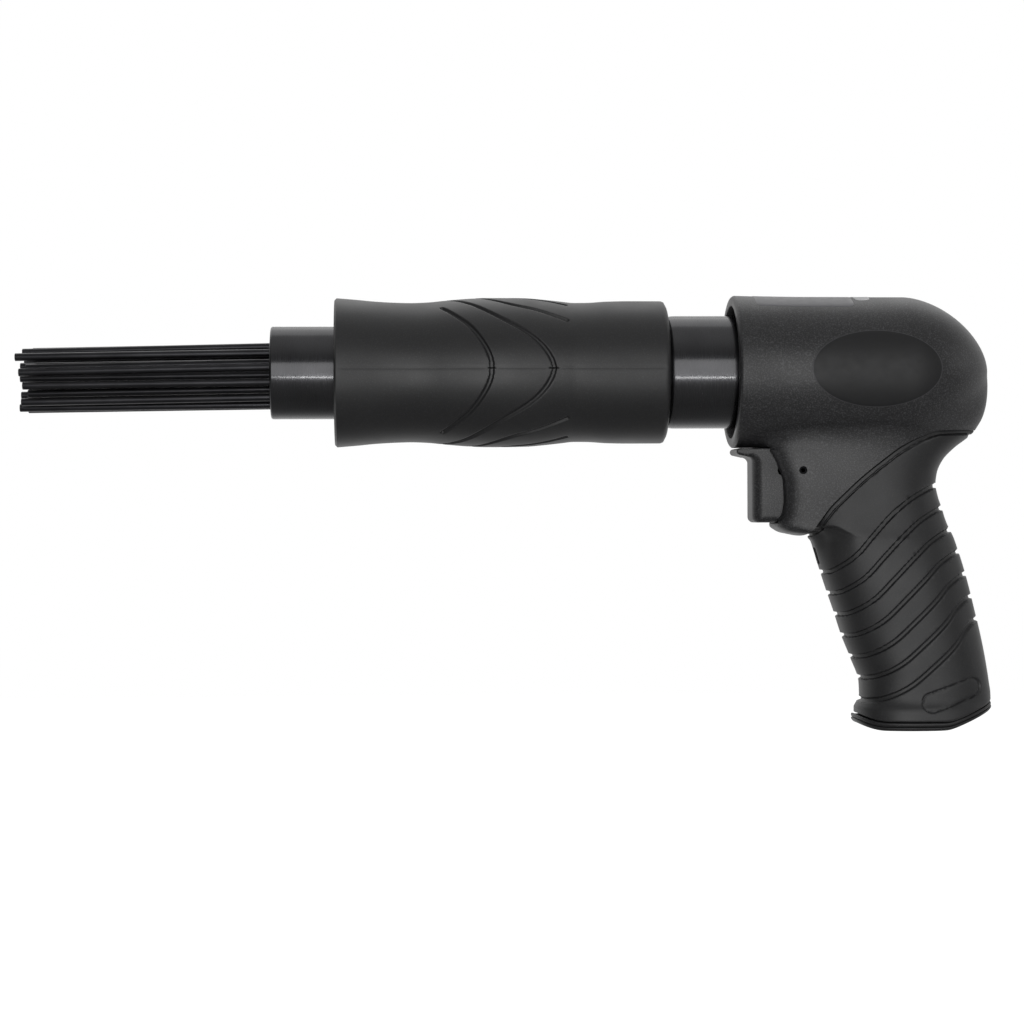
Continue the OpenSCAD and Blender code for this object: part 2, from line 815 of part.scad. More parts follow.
module valve_dowel() {
    color([0.6, 0.6, 0.62]) dowel_shape(0);
}

module rear_buffer() {
    color([0.1, 0.1, 0.1]) ring(rear_x, rear_buffer_length, rear_buffer_d, rear_buffer_bore);
}

module cylinder_seal() {
    color([0.08, 0.08, 0.08])
        difference() {
            on_barrel(-2 * cylinder_rear_reach) seal(cylinder_d);
            ring(-3 * cylinder_rear_reach, 2 * cylinder_rear_reach, body_d, cylinder_d);
        }
}

module barrel_bush() {
    color([0.66, 0.66, 0.68]) ring(floor_x, bush_length, bush_d, cylinder_d);
}

module housing_bores() {
    rod(-mouth_reach - over, mouth_depth + over, mouth_bore);
    rod(floor_x - over, bush_length + over, bush_d);
    rod(floor_x, bore_end_x - floor_x, cylinder_d);
    ring(exhaust_x - exhaust_d / 2, exhaust_d, 2 * exhaust_radius + 2 * exhaust_d, 0);
    for (a = [0 : 30 : 330])
        on_barrel(floor_x - over)
            rotate([0, 0, a])
                translate([exhaust_radius, 0])
                    cylinder(d = exhaust_d, h = exhaust_x - floor_x + over);
}

module trigger_room() {
    wide = trigger_width + 2 * trigger_gap;
    low = trigger_bottom - trigger_gap;
    translate([-2 * trigger_reach, -wide / 2, low])
        cube([pocket_x + 2 * trigger_reach, wide, trigger_top + trigger_gap - low]);
    tongue_end = trigger_back_x + tongue_length + trigger_travel + 2 * trigger_gap;
    translate([pocket_x - over, -wide / 2, pin_z - tongue_height / 2 - trigger_gap])
        cube([tongue_end - pocket_x + over, wide, tongue_height + 2 * trigger_gap]);
}

module air_passages() {
    rod_at(pocket_x - over, throttle_z, chamber_x - pocket_x + over, throttle_bush_d);
    translate([0, 0, -over]) cylinder(d = inlet_d, h = inlet_length + over);
    passage([0, 0, inlet_length - over], [chamber_x - throttle_length / 2, 0, throttle_z], passage_d);
    passage(
        [throttle_x - passage_d / 2, 0, throttle_z + throttle_bush_d / 4],
        [bore_end_x - passage_d / 2, 0, axis_height - cylinder_d / 3],
        passage_d
    );
}

module housing() {
    color([0.14, 0.14, 0.145])
        difference() {
            union() {
                body_form(0);
                difference() {
                    handle_form(0);
                    below_joint(0);
                }
                intersection() {
                    handle_form(rubber_thick);
                    above_base(cap_thick);
                }
            }
            housing_bores();
            trigger_room();
            air_passages();
            translate([-pin_reach, 0, pin_z])
                rotate([90, 0, 0])
                    cylinder(d = pin_d, h = body_d, center = true);
            intersection() {
                label_skin(over, label_recess);
                union() {
                    side_label_prism(loose);
                    top_prism(-top_label_reach, top_label_length, top_label_width, loose);
                    small_prism(loose);
                }
            }
        }
}

module trigger() {
    face = -trigger_reach;
    slot_end = -pin_reach - trigger_travel - pin_d / 2 - trigger_gap;
    color([0.13, 0.13, 0.135])
        difference() {
            union() {
                intersection() {
                    translate([face, -trigger_width / 2, trigger_bottom])
                        cube([trigger_depth, trigger_width, trigger_top - trigger_bottom]);
                    translate([face + trigger_round, 0, 0])
                        linear_extrude(height = axis_height)
                            union() {
                                translate([0, -trigger_width / 2])
                                    square([trigger_depth, trigger_width]);
                                for (side = [-1, 1])
                                    translate([0, side * (trigger_width / 2 - trigger_round)])
                                        circle(r = trigger_round);
                                translate([-trigger_round, trigger_round - trigger_width / 2])
                                    square([2 * trigger_round, trigger_width - 2 * trigger_round]);
                            }
                }
                slab_of(
                    concat(
                        [[face + trigger_round, trigger_top]],
                        [for (s = lip_shares) [face - lip_reach * s[0], trigger_top - lip_thick * s[1]]],
                        [
                            [face, trigger_top - lip_thick],
                            [face + trigger_round, trigger_top - lip_thick],
                        ]
                    ),
                    trigger_width - trigger_round
                );
                translate([trigger_back_x - over, -trigger_width / 2, pin_z - tongue_height / 2])
                    cube([tongue_length + over, trigger_width, tongue_height]);
            }
            translate([slot_end, -trigger_width, pin_z - pin_d / 2 - trigger_gap])
                cube([
                    -pin_reach + pin_d / 2 + rest_gap - slot_end,
                    2 * trigger_width,
                    pin_d + 2 * trigger_gap,
                ]);
        }
}

// Slab of a given width from an outline in X and Z
module slab_of(points, wide) {
    rotate([90, 0, 0]) linear_extrude(height = wide, center = true) polygon(points);
}

module trigger_pin() {
    color([0.5, 0.5, 0.52])
        translate([-pin_reach, 0, pin_z])
            rotate([90, 0, 0])
                difference() {
                    cylinder(d = pin_d, h = pin_length, center = true);
                    cylinder(d = pin_bore, h = pin_length + 2 * over, center = true);
                }
}

module throttle_stem() {
    front = trigger_back_x + rest_gap;
    color([0.7, 0.57, 0.3])
        union() {
            rod_at(front, throttle_z, throttle_spring_x - front, stem_d);
            rod_at(head_x, throttle_z, stem_head_length, stem_head_d);
        }
}

module throttle_seal() {
    color([0.08, 0.08, 0.08])
        translate([head_x - seal_thick / 2, 0, throttle_z])
            rotate([0, 90, 0])
                seal(stem_d + seal_thick);
}

module throttle_bush() {
    color([0.72, 0.58, 0.3])
        difference() {
            rod_at(pocket_x, throttle_z, throttle_bush_length, throttle_bush_d);
            rod_at(pocket_x - over, throttle_z, throttle_bush_length + 2 * over, stem_d + 2 * running);
            translate([throttle_x - passage_d / 2, 0, throttle_z])
                cylinder(d = passage_d / 2, h = throttle_bush_d);
        }
}

module throttle_spring() {
    color([0.6, 0.6, 0.62])
        translate([throttle_spring_x, 0, throttle_z])
            rotate([0, 90, 0])
                coil(throttle_length, throttle_coil_d, throttle_wire, throttle_turns);
}

module rubber_grip() {
    color([0.09, 0.09, 0.09])
        difference() {
            intersection() {
                handle_form(0);
                below_joint(joint_gap);
                above_base(cap_thick);
            }
            handle_form(rubber_thick);
        }
}

module base_cap() {
    color([0.11, 0.11, 0.115])
        difference() {
            intersection() {
                handle_form(0);
                above_base(0);
            }
            above_base(cap_thick);
            translate([0, 0, -over]) cylinder(d = inlet_d, h = cap_thick + 2 * over);
            translate([0, 0, -over]) cylinder(d = inlet_flange_d, h = inlet_flange + over);
        }
}

module inlet_bush() {
    ledge = inlet_thread + filter_thick;
    color([0.6, 0.6, 0.62])
        difference() {
            union() {
                cylinder(d = inlet_d, h = inlet_length);
                cylinder(d = inlet_flange_d, h = inlet_flange);
            }
            translate([0, 0, -over]) cylinder(d = inlet_bore, h = inlet_thread + over);
            cylinder(d = passage_d + filter_hole, h = inlet_length + over);
            translate([0, 0, ledge]) cylinder(d = filter_d, h = inlet_length);
            translate([0, 0, inlet_length - seal_thick]) seal(inlet_d);
        }
}

module inlet_filter() {
    color([0.75, 0.6, 0.35])
        translate([0, 0, inlet_thread + filter_thick])
            difference() {
                cylinder(d = filter_d, h = filter_thick);
                translate([0, 0, -over]) cylinder(d = filter_hole, h = filter_thick + 2 * over);
                for (a = [0 : 60 : 300])
                    rotate([0, 0, a])
                        translate([filter_d / 4, 0, -over])
                            cylinder(d = filter_hole, h = filter_thick + 2 * over);
            }
}

module inlet_seal() {
    color([0.08, 0.08, 0.08])
        intersection() {
            translate([0, 0, inlet_length - seal_thick]) seal(inlet_d);
            cylinder(d = inlet_d, h = inlet_length);
        }
}

module side_label() {
    color([0.2, 0.2, 0.205])
        intersection() {
            label_skin(label_proud, label_recess - rest_gap);
            side_label_prism(0);
        }
}

module top_label() {
    color([0.3, 0.3, 0.31])
        intersection() {
            label_skin(label_proud, label_recess - rest_gap);
            top_prism(-top_label_reach, top_label_length, top_label_width, 0);
        }
}

module small_label() {
    color([0.8, 0.8, 0.8])
        intersection() {
            label_skin(label_proud, label_recess - rest_gap);
            small_prism(0);
        }
}

nozzle_tube();
front_sleeve();
barrel_collar();
needle_holder();
anvil();
holder_ring();
return_spring();
spring_seat();
anvil_buffer();
hammer_cylinder();
piston();
valve_seat();
valve_disc();
valve_cover();
valve_dowel();
rear_buffer();
cylinder_seal();
barrel_bush();
housing();
trigger();
trigger_pin();
throttle_stem();
throttle_seal();
throttle_bush();
throttle_spring();
rubber_grip();
base_cap();
inlet_bush();
inlet_filter();
inlet_seal();
side_label();
top_label();
small_label();
for (i = [0 : needle_count - 1])
    needle(i);
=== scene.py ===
"""Looks of a pistol grip needle scaler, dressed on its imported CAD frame.

Sizes are millimetres in the frame's own axes: X runs back along the barrel, Y across, Z up, and the
air inlet in the foot of the grip is the origin. They turn to metres where a mesh gets its points.
"""

import logging
import math
from collections.abc import Callable, Sequence
from dataclasses import dataclass, field, replace
from enum import Enum

import bmesh
import bpy
import numpy as np
from mathutils import Matrix, Quaternion, Vector


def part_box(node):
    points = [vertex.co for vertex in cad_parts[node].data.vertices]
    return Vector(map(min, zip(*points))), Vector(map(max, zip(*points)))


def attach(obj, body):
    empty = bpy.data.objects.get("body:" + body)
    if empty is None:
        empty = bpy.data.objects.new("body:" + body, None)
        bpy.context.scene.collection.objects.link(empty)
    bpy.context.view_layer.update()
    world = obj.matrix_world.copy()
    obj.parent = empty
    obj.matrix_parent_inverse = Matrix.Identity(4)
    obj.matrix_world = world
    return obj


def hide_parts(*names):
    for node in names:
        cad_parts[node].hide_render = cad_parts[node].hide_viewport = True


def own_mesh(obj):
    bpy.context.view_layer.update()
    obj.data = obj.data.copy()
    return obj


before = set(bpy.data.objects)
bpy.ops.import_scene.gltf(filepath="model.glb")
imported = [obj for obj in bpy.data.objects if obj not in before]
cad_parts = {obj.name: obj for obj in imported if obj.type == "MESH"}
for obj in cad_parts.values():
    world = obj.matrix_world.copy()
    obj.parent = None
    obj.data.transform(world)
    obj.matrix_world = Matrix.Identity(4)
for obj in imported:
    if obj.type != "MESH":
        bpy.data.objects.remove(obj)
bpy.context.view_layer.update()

LOG = logging.getLogger("needle_scaler")
MM = 0.001
# Most of a noise texture's values lie between these two
NOISE_LOW, NOISE_HIGH = 0.3, 0.7
# Distance below which two places count as the same
NEAR = 0.01
# Place of the trigger's pin in X and Z, radius of the inlet's hole, thickness of the grip's rubber
PIN = (-42.4, 100.5)
INLET_RADIUS = 9.6
RUBBER = 4.2

Array, Obj = np.ndarray, bpy.types.Object
Node, Socket, Tree = bpy.types.Node, bpy.types.NodeSocket, bpy.types.NodeTree
Pair = tuple[float, float]
Pairs = Sequence[Pair]
Triple = tuple[float, float, float]


class Way(Enum):
    """How one solid acts on another."""

    JOIN = "UNION"
    CUT = "DIFFERENCE"


class Slot(Enum):
    """The record's material slots; each new piece names one, which nothing reads."""

    BLACK_STEEL = "black_steel"
    NEEDLE = "needle_steel"
    SPRING = "spring_steel"
    SLEEVE = "sleeve_rubber"
    GRIP = "grip_rubber"
    COMPOSITE = "composite"
    CAP = "cap_plastic"
    TRIGGER = "trigger_plastic"
    LABEL_DARK = "label_dark"
    LABEL_GREY = "label_grey"
    LABEL_PALE = "label_pale"


# Curves


def steady(at: Array, xs: Sequence[float], ys: Sequence[float]) -> Array:
    """Runs a curve through points without overshoot.

    Args:
        at: Where to read the curve.
        xs: Rising places of the points.
        ys: Values of the points.

    Returns:
        The curve's values, held level beyond its ends.
    """
    xs, ys = np.asarray(xs, float), np.asarray(ys, float)
    step = np.diff(xs)
    slope = np.diff(ys) / step
    lean = np.concatenate([slope[:1], np.zeros(len(xs) - 2), slope[-1:]])
    same = slope[:-1] * slope[1:] > 0
    both = np.where(same, slope[:-1] + slope[1:], 1)
    lean[1:-1] = np.where(same, 2 * slope[:-1] * slope[1:] / both, 0)
    i = np.clip(np.searchsorted(xs, at) - 1, 0, len(step) - 1)
    t = np.clip((at - xs[i]) / step[i], 0, 1)
    near = (1 + 2 * t) * (1 - t) ** 2 * ys[i] + t * (1 - t) ** 2 * step[i] * lean[i]
    far = t * t * (3 - 2 * t) * ys[i + 1] + t * t * (t - 1) * step[i] * lean[i + 1]
    return near + far


def flowing(points: Pairs, per_span: int = 8) -> Array:
    """Draws a smooth line through a few points.

    Args:
        points: Points in a plane.
        per_span: Points on the line for each stretch between two of them.

    Returns:
        The line's points, one to a row.
    """
    p = np.asarray(points, float)
    p = np.vstack([2 * p[0] - p[1], p, 2 * p[-1] - p[-2]])
    t = np.linspace(0, 1, per_span, endpoint=False)[:, None]
    spans = [
        0.5 * (
            2 * b + (c - a) * t + (2 * a - 5 * b + 4 * c - d) * t**2
            + (3 * b - a - 3 * c + d) * t**3
        )
        for a, b, c, d in zip(p, p[1:], p[2:], p[3:])
    ]
    return np.vstack([*spans, p[-2:-1]])


def off_line(points: Array, line: Array) -> Array:
    """Gives each point's distance from a line of points in a plane.

    Args:
        points: Points in a plane.
        line: Points of the line in order.

    Returns:
        The distances.
    """
    best = np.full(len(points), np.inf)
    for a, b in zip(line[:-1], line[1:]):
        way = b - a
        share = np.clip((points - a) @ way / max(way @ way, 1e-12), 0, 1)
        best = np.minimum(best, np.linalg.norm(points - a - share[:, None] * way, axis=1))
    return best


def ramp(value: Array, start: float, end: float) -> Array:
    """Rises smoothly from 0 at start to 1 at end."""
    t = np.clip((value - start) / (end - start), 0, 1)
    return t * t * (3 - 2 * t)


def arc(x: float, y: float, r: float, start: float, end: float, steps: int = 6) -> list[Pair]:
    """Gives points on a round from one angle to another, in degrees."""
    turns = np.radians(np.linspace(start, end, steps + 1))
    return [(x + r * math.cos(a), y + r * math.sin(a)) for a in turns]


def ring(x: float, y: float, r: float, count: int) -> list[Pair]:
    """Gives points spaced evenly round a circle."""
    return arc(x, y, r, 0, 360 - 360 / count, count - 1)


# Meshes


def settle() -> None:
    """Leaves edit mode and deselects every object."""
    if bpy.context.mode != "OBJECT":
        bpy.ops.object.mode_set(mode="OBJECT")
    bpy.ops.object.select_all(action="DESELECT")


def adopt(name: str) -> Obj:
    """Names the object that was just added, and its mesh.

    Args:
        name: The name.

    Returns:
        The object.
    """
    obj = bpy.context.object
    obj.name = obj.data.name = name
    return obj


def linked(name: str, data: bpy.types.ID) -> Obj:
    """Makes an object of a mesh, a lamp or a camera and puts it in the scene.

    Args:
        name: Name of the object.
        data: The mesh, lamp or camera.

    Returns:
        The object.
    """
    obj = bpy.data.objects.new(name, data)
    bpy.context.scene.collection.objects.link(obj)
    return obj


def choose(obj: Obj) -> None:
    """Makes an object the only selected one, in object mode.

    Args:
        obj: The object.
    """
    settle()
    obj.select_set(True)
    bpy.context.view_layer.objects.active = obj


def open_mesh(obj: Obj) -> bmesh.types.BMesh:
    """Goes into edit mode on an object with nothing selected.

    Args:
        obj: The object.

    Returns:
        Its mesh in edit mode.
    """
    choose(obj)
    bpy.ops.object.mode_set(mode="EDIT")
    bpy.ops.mesh.select_mode(type="VERT")
    bpy.ops.mesh.select_all(action="DESELECT")
    return bmesh.from_edit_mesh(obj.data)


def face_outwards() -> None:
    """In edit mode, merges doubles and turns every face outwards."""
    bpy.ops.mesh.select_all(action="SELECT")
    bpy.ops.mesh.remove_doubles(threshold=1e-3 * MM)
    bpy.ops.mesh.normals_make_consistent(inside=False)
    bpy.ops.object.mode_set(mode="OBJECT")


def points_of(obj: Obj) -> Array:
    """Reads a mesh's points in millimetres, one to a row.

    Args:
        obj: The object.

    Returns:
        The points.
    """
    flat = np.empty(3 * len(obj.data.vertices))
    obj.data.vertices.foreach_get("co", flat)
    return flat.reshape(-1, 3) / MM


def set_points(obj: Obj, points: Array) -> None:
    """Moves a mesh's points to places in millimetres."""
    obj.data.vertices.foreach_set("co", (points * MM).ravel())
    obj.data.update()


def normals_of(obj: Obj) -> Array:
    """Reads the normal at each of a mesh's points.

    Args:
        obj: The object.

    Returns:
        The normals, one to a row.
    """
    flat = np.empty(3 * len(obj.data.vertices))
    obj.data.vertex_normals.foreach_get("vector", flat)
    return flat.reshape(-1, 3)


def sink(obj: Obj, depth: Array) -> None:
    """Presses a surface in along its normals, by a depth for each point."""
    set_points(obj, points_of(obj) - normals_of(obj) * depth[:, None])


def tube(
    name: str, around: int, rings: Sequence[int], place: Callable[[Array, Array], Array]
) -> Obj:
    """Cuts a cylinder into rings and sets its points on a surface.

    Args:
        name: Name of the object.
        around: Points round each ring.
        rings: Stretches that the cylinder is cut into, one stage after another.
        place: Gives the places in millimetres from each point's turn and its rise from 0 to 1.

    Returns:
        A closed form with plain ends.
    """
    settle()
    bpy.ops.mesh.primitive_cylinder_add(vertices=around, radius=1, depth=1, end_fill_type="NGON")
    obj = adopt(name)
    for count in rings:
        mesh = open_mesh(obj)
        for edge in mesh.edges:
            low, high = edge.verts
            edge.select = abs(low.co.z - high.co.z) > 1e-5
        bmesh.update_edit_mesh(obj.data)
        bpy.ops.mesh.subdivide(number_cuts=count - 1)
        bpy.ops.object.mode_set(mode="OBJECT")
    at = points_of(obj) * MM
    set_points(obj, place(np.arctan2(at[:, 1], at[:, 0]), at[:, 2] + 0.5))
    open_mesh(obj)
    face_outwards()
    return obj


def bore_through(obj: Obj) -> None:
    """Takes a tube's two plain ends away and joins their edges through the inside.

    Args:
        obj: The tube.
    """
    mesh = open_mesh(obj)
    bpy.ops.mesh.select_mode(type="FACE")
    for side in mesh.faces:
        side.select = len(side.verts) > 4
    bmesh.update_edit_mesh(obj.data)
    bpy.ops.mesh.delete(type="FACE")
    bpy.ops.mesh.select_mode(type="EDGE")
    bpy.ops.mesh.select_non_manifold()
    bpy.ops.mesh.bridge_edge_loops()
    face_outwards()


def trace(name: str, places: Sequence[Vector]) -> Obj:
    """Draws a line of edges from one point, extruded to each next place, and stays in edit mode.

    Args:
        name: Name of the object.
        places: Places of the points in metres.

    Returns:
        The object, with its whole line selected.
    """
    settle()
    bpy.ops.mesh.primitive_plane_add(size=MM)
    obj = adopt(name)
    bpy.ops.object.mode_set(mode="EDIT")
    bpy.ops.mesh.select_mode(type="VERT")
    bpy.ops.mesh.merge(type="CENTER")
    bpy.ops.transform.translate(value=places[0])
    for here, there in zip(places, places[1:]):
        bpy.ops.mesh.extrude_vertices_move(TRANSFORM_OT_translate={"value": there - here})
    bpy.ops.mesh.select_all(action="SELECT")
    return obj


def lathe(name: str, profile: Pairs, axis_height: float, steps: int = 128) -> Obj:
    """Spins a closed profile about the barrel's axis.

    Args:
        name: Name of the object.
        profile: Points of place along X and radius, back to the first one or from axis to axis.
        axis_height: Height of the axis.
        steps: Steps of the turn.

    Returns:
        The turned solid.
    """
    loop = list(profile)
    if min(r for _, r in loop) > 0:
        loop.append(loop[0])
    obj = trace(name, [Vector((x, 0, axis_height + r)) * MM for x, r in loop])
    middle = (0, 0, axis_height * MM)
    bpy.ops.mesh.spin(steps=steps, angle=2 * math.pi, center=middle, axis=(1, 0, 0))
    face_outwards()
    return obj


def drill(name: str, profile: Pairs) -> Obj:
    """Spins a profile of heights and radii about Z, through the inlet.

    Args:
        name: Name of the object.
        profile: Heights and radii from axis to axis.

    Returns:
        The solid.
    """
    obj = lathe(name, profile, axis_height=0.0, steps=64)
    obj.data.transform(Quaternion((0, 1, 0), -math.pi / 2).to_matrix().to_4x4())
    return obj


def stack(name: str, outline: Pairs, layers: Sequence[float]) -> Obj:
    """Extrudes an outline in X and Z from one place across to the next.

    Args:
        name: Name of the object.
        outline: Points of X and Z in order.
        layers: Places along Y.

    Returns:
        The prism, with an outline at each place.
    """
    obj = trace(name, [Vector((x, layers[0], z)) * MM for x, z in outline])
    bpy.ops.mesh.edge_face_add()
    for here, there in zip(layers, layers[1:]):
        bpy.ops.mesh.extrude_region_move(TRANSFORM_OT_translate={"value": (0, (there - here) * MM, 0)})
    face_outwards()
    return obj


def slab(name: str, outline: Pairs, width: float) -> Obj:
    """Extrudes an outline in X and Z across the middle plane, half its width to each side."""
    return stack(name, outline, (-width / 2, width / 2))


def apply_modifier(obj: Obj, kind: str, **settings: object) -> None:
    """Gives an object a modifier with these settings and applies it.

    Args:
        obj: The object.
        kind: The modifier's type.
        settings: Its settings.
    """
    choose(obj)
    modifier = obj.modifiers.new(kind.lower(), kind)
    for key, value in settings.items():
        setattr(modifier, key, value)
    bpy.ops.object.modifier_apply(modifier=modifier.name)


def act(obj: Obj, tool: Obj, way: Way) -> None:
    """Joins a solid to an object, or cuts it out, and uses it up."""
    apply_modifier(obj, "BOOLEAN", object=tool, operation=way.value, solver="EXACT")
    bpy.data.objects.remove(tool)


def as_one(tools: Sequence[Obj]) -> Obj:
    """Puts solids that stand clear of each other into one object.

    Args:
        tools: The solids.

    Returns:
        The one object.
    """
    settle()
    for tool in tools:
        tool.select_set(True)
    bpy.context.view_layer.objects.active = tools[0]
    bpy.ops.object.join()
    return tools[0]


def refine(obj: Obj, mask: Array, cuts: int) -> None:
    """Subdivides the faces whose points are all marked.

    Args:
        obj: The object.
        mask: A mark for each point.
        cuts: Cuts across each face.
    """
    mesh = open_mesh(obj)
    for vert, marked in zip(mesh.verts, mask):
        vert.select = bool(marked)
    mesh.select_flush(True)
    bmesh.update_edit_mesh(obj.data)
    bpy.ops.mesh.subdivide(number_cuts=cuts)
    bpy.ops.object.mode_set(mode="OBJECT")


def shade(obj: Obj, angle: float = 180) -> None:
    """Shades a piece smooth, with edges sharper than an angle in degrees kept.

    Args:
        obj: The piece.
        angle: The angle, where 180 keeps no edge.
    """
    choose(obj)
    if angle >= 180:
        bpy.ops.object.shade_smooth()
    else:
        bpy.ops.object.shade_smooth_by_angle(angle=math.radians(angle))


# Finishes


def linear(colour: str) -> tuple[float, float, float, float]:
    """Turns an sRGB hex value to a linear colour."""
    parts = [int(colour[i : i + 2], 16) / 255 for i in (1, 3, 5)]
    return (*(c / 12.92 if c <= 0.04045 else ((c + 0.055) / 1.055) ** 2.4 for c in parts), 1.0)


def bare_tree(owner: bpy.types.Material | bpy.types.World) -> Tree:
    """Gives a material or a world an empty node tree.

    Args:
        owner: The material or the world.

    Returns:
        The tree.
    """
    owner.use_nodes = True
    owner.node_tree.nodes.clear()
    return owner.node_tree


def add(tree: Tree, kind: str, inputs: dict | None = None, **settings: object) -> Node:
    """Adds a shader node.

    Args:
        tree: The node tree.
        kind: The node's type, without its prefix.
        inputs: A value for each input, by name or number: a socket to link, a node whose first output
            is linked, or a plain value. A MapRange has its value at 0, what that goes from at 1 and 2
            and what it goes to at 3 and 4; a Mix has its share at 0, numbers at 2 and 3, colours at
            6 and 7.
        settings: The node's own settings.

    Returns:
        The node.
    """
    node = tree.nodes.new("ShaderNode" + kind)
    for key, value in settings.items():
        setattr(node, key, value)
    for key, value in (inputs or {}).items():
        if isinstance(value, Node):
            value = value.outputs[0]
        if isinstance(value, Socket):
            tree.links.new(value, node.inputs[key])
        else:
            node.inputs[key].default_value = value
    return node


@dataclass(frozen=True)
class Finish:
    """A surface finish that makes one material.

    Attributes:
        name: Name of the material.
        colour: Main colour.
        roughness: Mean roughness.
    """

    name: str
    colour: str
    roughness: float

    def material(self) -> bpy.types.Material:
        """Gives the material, made on first use.

        Returns:
            The material.
        """
        found = bpy.data.materials.get(self.name)
        if found:
            return found
        made = bpy.data.materials.new(self.name)
        tree = bare_tree(made)
        shader = self.shader(tree, add(tree, "TexCoord").outputs["Object"])
        add(tree, "OutputMaterial", {"Surface": shader})
        return made

    def shader(self, tree: Tree, place: Socket) -> Node:
        """Builds the nodes of the finish; each kind of finish has its own."""
        raise NotImplementedError

    def toned(self, tree: Tree, texture: Node, by: float) -> Socket:
        """Lets the main colour go darker and lighter by a share, as a texture says.

        Args:
            tree: The node tree.
            texture: The texture.
            by: The share.

        Returns:
            The colour.
        """
        main = linear(self.colour)[:3]
        dark, light = ((*((1 + way) * c for c in main), 1.0) for way in (-by, by))
        return add(tree, "Mix", {0: texture, 6: dark, 7: light}, data_type="RGBA").outputs[2]

    def surface(
        self, tree: Tree, dull: Node, spread: Pair, height: Node, relief: Pair, inputs: dict
    ) -> Node:
        """Joins an uneven roughness and a fine relief to the shader's other inputs.

        Args:
            tree: The node tree.
            dull: Texture that the roughness follows.
            spread: How far the roughness goes below and above its mean.
            height: Texture that the relief follows.
            relief: Strength and depth of the relief.
            inputs: The shader's other inputs.

        Returns:
            The shader node.
        """
        low, high = self.roughness - spread[0], self.roughness + spread[1]
        rough = add(tree, "MapRange", {0: dull, 1: NOISE_LOW, 2: NOISE_HIGH, 3: low, 4: high})
        strength, depth = relief
        bump = add(tree, "Bump", {"Height": height, "Strength": strength, "Distance": depth * MM})
        return add(tree, "BsdfPrincipled", {**inputs, "Roughness": rough, "Normal": bump})

    def dress(self, obj: Obj) -> None:
        """Gives a piece this finish alone."""
        obj.data.materials.clear()
        obj.data.materials.append(self.material())


@dataclass(frozen=True)
class MouldedPolymer(Finish):
    """Plastic or rubber with a grain from its mould.

    Attributes:
        glint: Colour of the painted glints on the grain's crests.
        grain: Spacing of the grain.
        crest: Height of the grain.
        glint_share: Share of the surface that the painted glints cover.
        mottle: Spacing of the slow change in tone.
        gloss: Level of the mirror part, where 0.5 is bare plastic and less is dusted or bloomed.
    """

    glint: str = "#505052"
    grain: float = 0.5
    crest: float = 0.04
    glint_share: float = 0.3
    mottle: float = 22.0
    gloss: float = 0.5

    def shader(self, tree: Tree, place: Socket) -> Node:
        """Builds grain, painted glints on its crests and a slow mottle.

        Args:
            tree: The node tree.
            place: Object coordinates.

        Returns:
            The shader node.
        """
        grain, slow = (
            add(tree, "TexNoise", {"Vector": place, "Scale": 1 / (size * MM), "Detail": detail})
            for size, detail in ((self.grain, 2.0), (self.mottle, 3.0))
        )
        # Painted glints: the grain's highest values, from this level on, take a lighter colour
        level = 0.72 - 0.25 * self.glint_share
        painted_glints = add(tree, "MapRange", {0: grain, 1: level - 0.14, 2: level + 0.08, 3: 0.0, 4: 1.0})
        tones = {0: painted_glints, 6: self.toned(tree, slow, by=0.14), 7: linear(self.glint)}
        colour = add(tree, "Mix", tones, data_type="RGBA")
        return self.surface(
            tree, dull=slow, spread=(0.05, 0.05), height=grain, relief=(0.6, self.crest),
            inputs={"Base Color": colour.outputs[2], "Specular IOR Level": self.gloss},
        )


@dataclass(frozen=True)
class TurnedMetal(Finish):
    """Metal turned, ground or drawn, with fine lines across its axis.

    Attributes:
        line: Spacing of the tool's lines along X.
        groove: Depth of the lines.
        stain: Spacing of the stains.
        stained: Colour of the stains.
        stretch: How fast the lines change along X, Y and Z.
        coat: Weight of a clear film of oil.
        coat_roughness: Roughness of that film.
        rim: Grey of the metal's own mirror part where it is seen at a slant.
    """

    line: float = 0.4
    groove: float = 0.004
    stain: float = 9.0
    stained: str = "#202022"
    stretch: Triple = (1.0, 0.02, 0.02)
    coat: float = 0.0
    coat_roughness: float = 0.1
    rim: float = 1.0

    def shader(self, tree: Tree, place: Socket) -> Node:
        """Builds the tool's lines and the stains of the finish.

        Args:
            tree: The node tree.
            place: Object coordinates.

        Returns:
            The shader node.
        """
        along = add(tree, "Mapping", {"Vector": place, "Scale": self.stretch})
        lines, stains = (
            add(tree, "TexNoise", {"Vector": at, "Scale": 1 / (size * MM), "Detail": detail})
            for at, size, detail in ((along, self.line, 3.0), (place, self.stain, 4.0))
        )
        spread = add(tree, "MapRange", {0: stains, 1: 0.4, 2: 0.65, 3: 0.0, 4: 1.0})
        tones = {0: spread, 6: linear(self.colour), 7: linear(self.stained)}
        colour = add(tree, "Mix", tones, data_type="RGBA")
        inputs = {
            "Base Color": colour.outputs[2], "Metallic": 1.0, "Coat Weight": self.coat,
            "Coat Roughness": self.coat_roughness, "Specular Tint": (self.rim, self.rim, self.rim, 1.0),
        }
        return self.surface(
            tree, dull=lines, spread=(0.04, 0.05), height=lines, relief=(0.5, self.groove),
            inputs=inputs,
        )


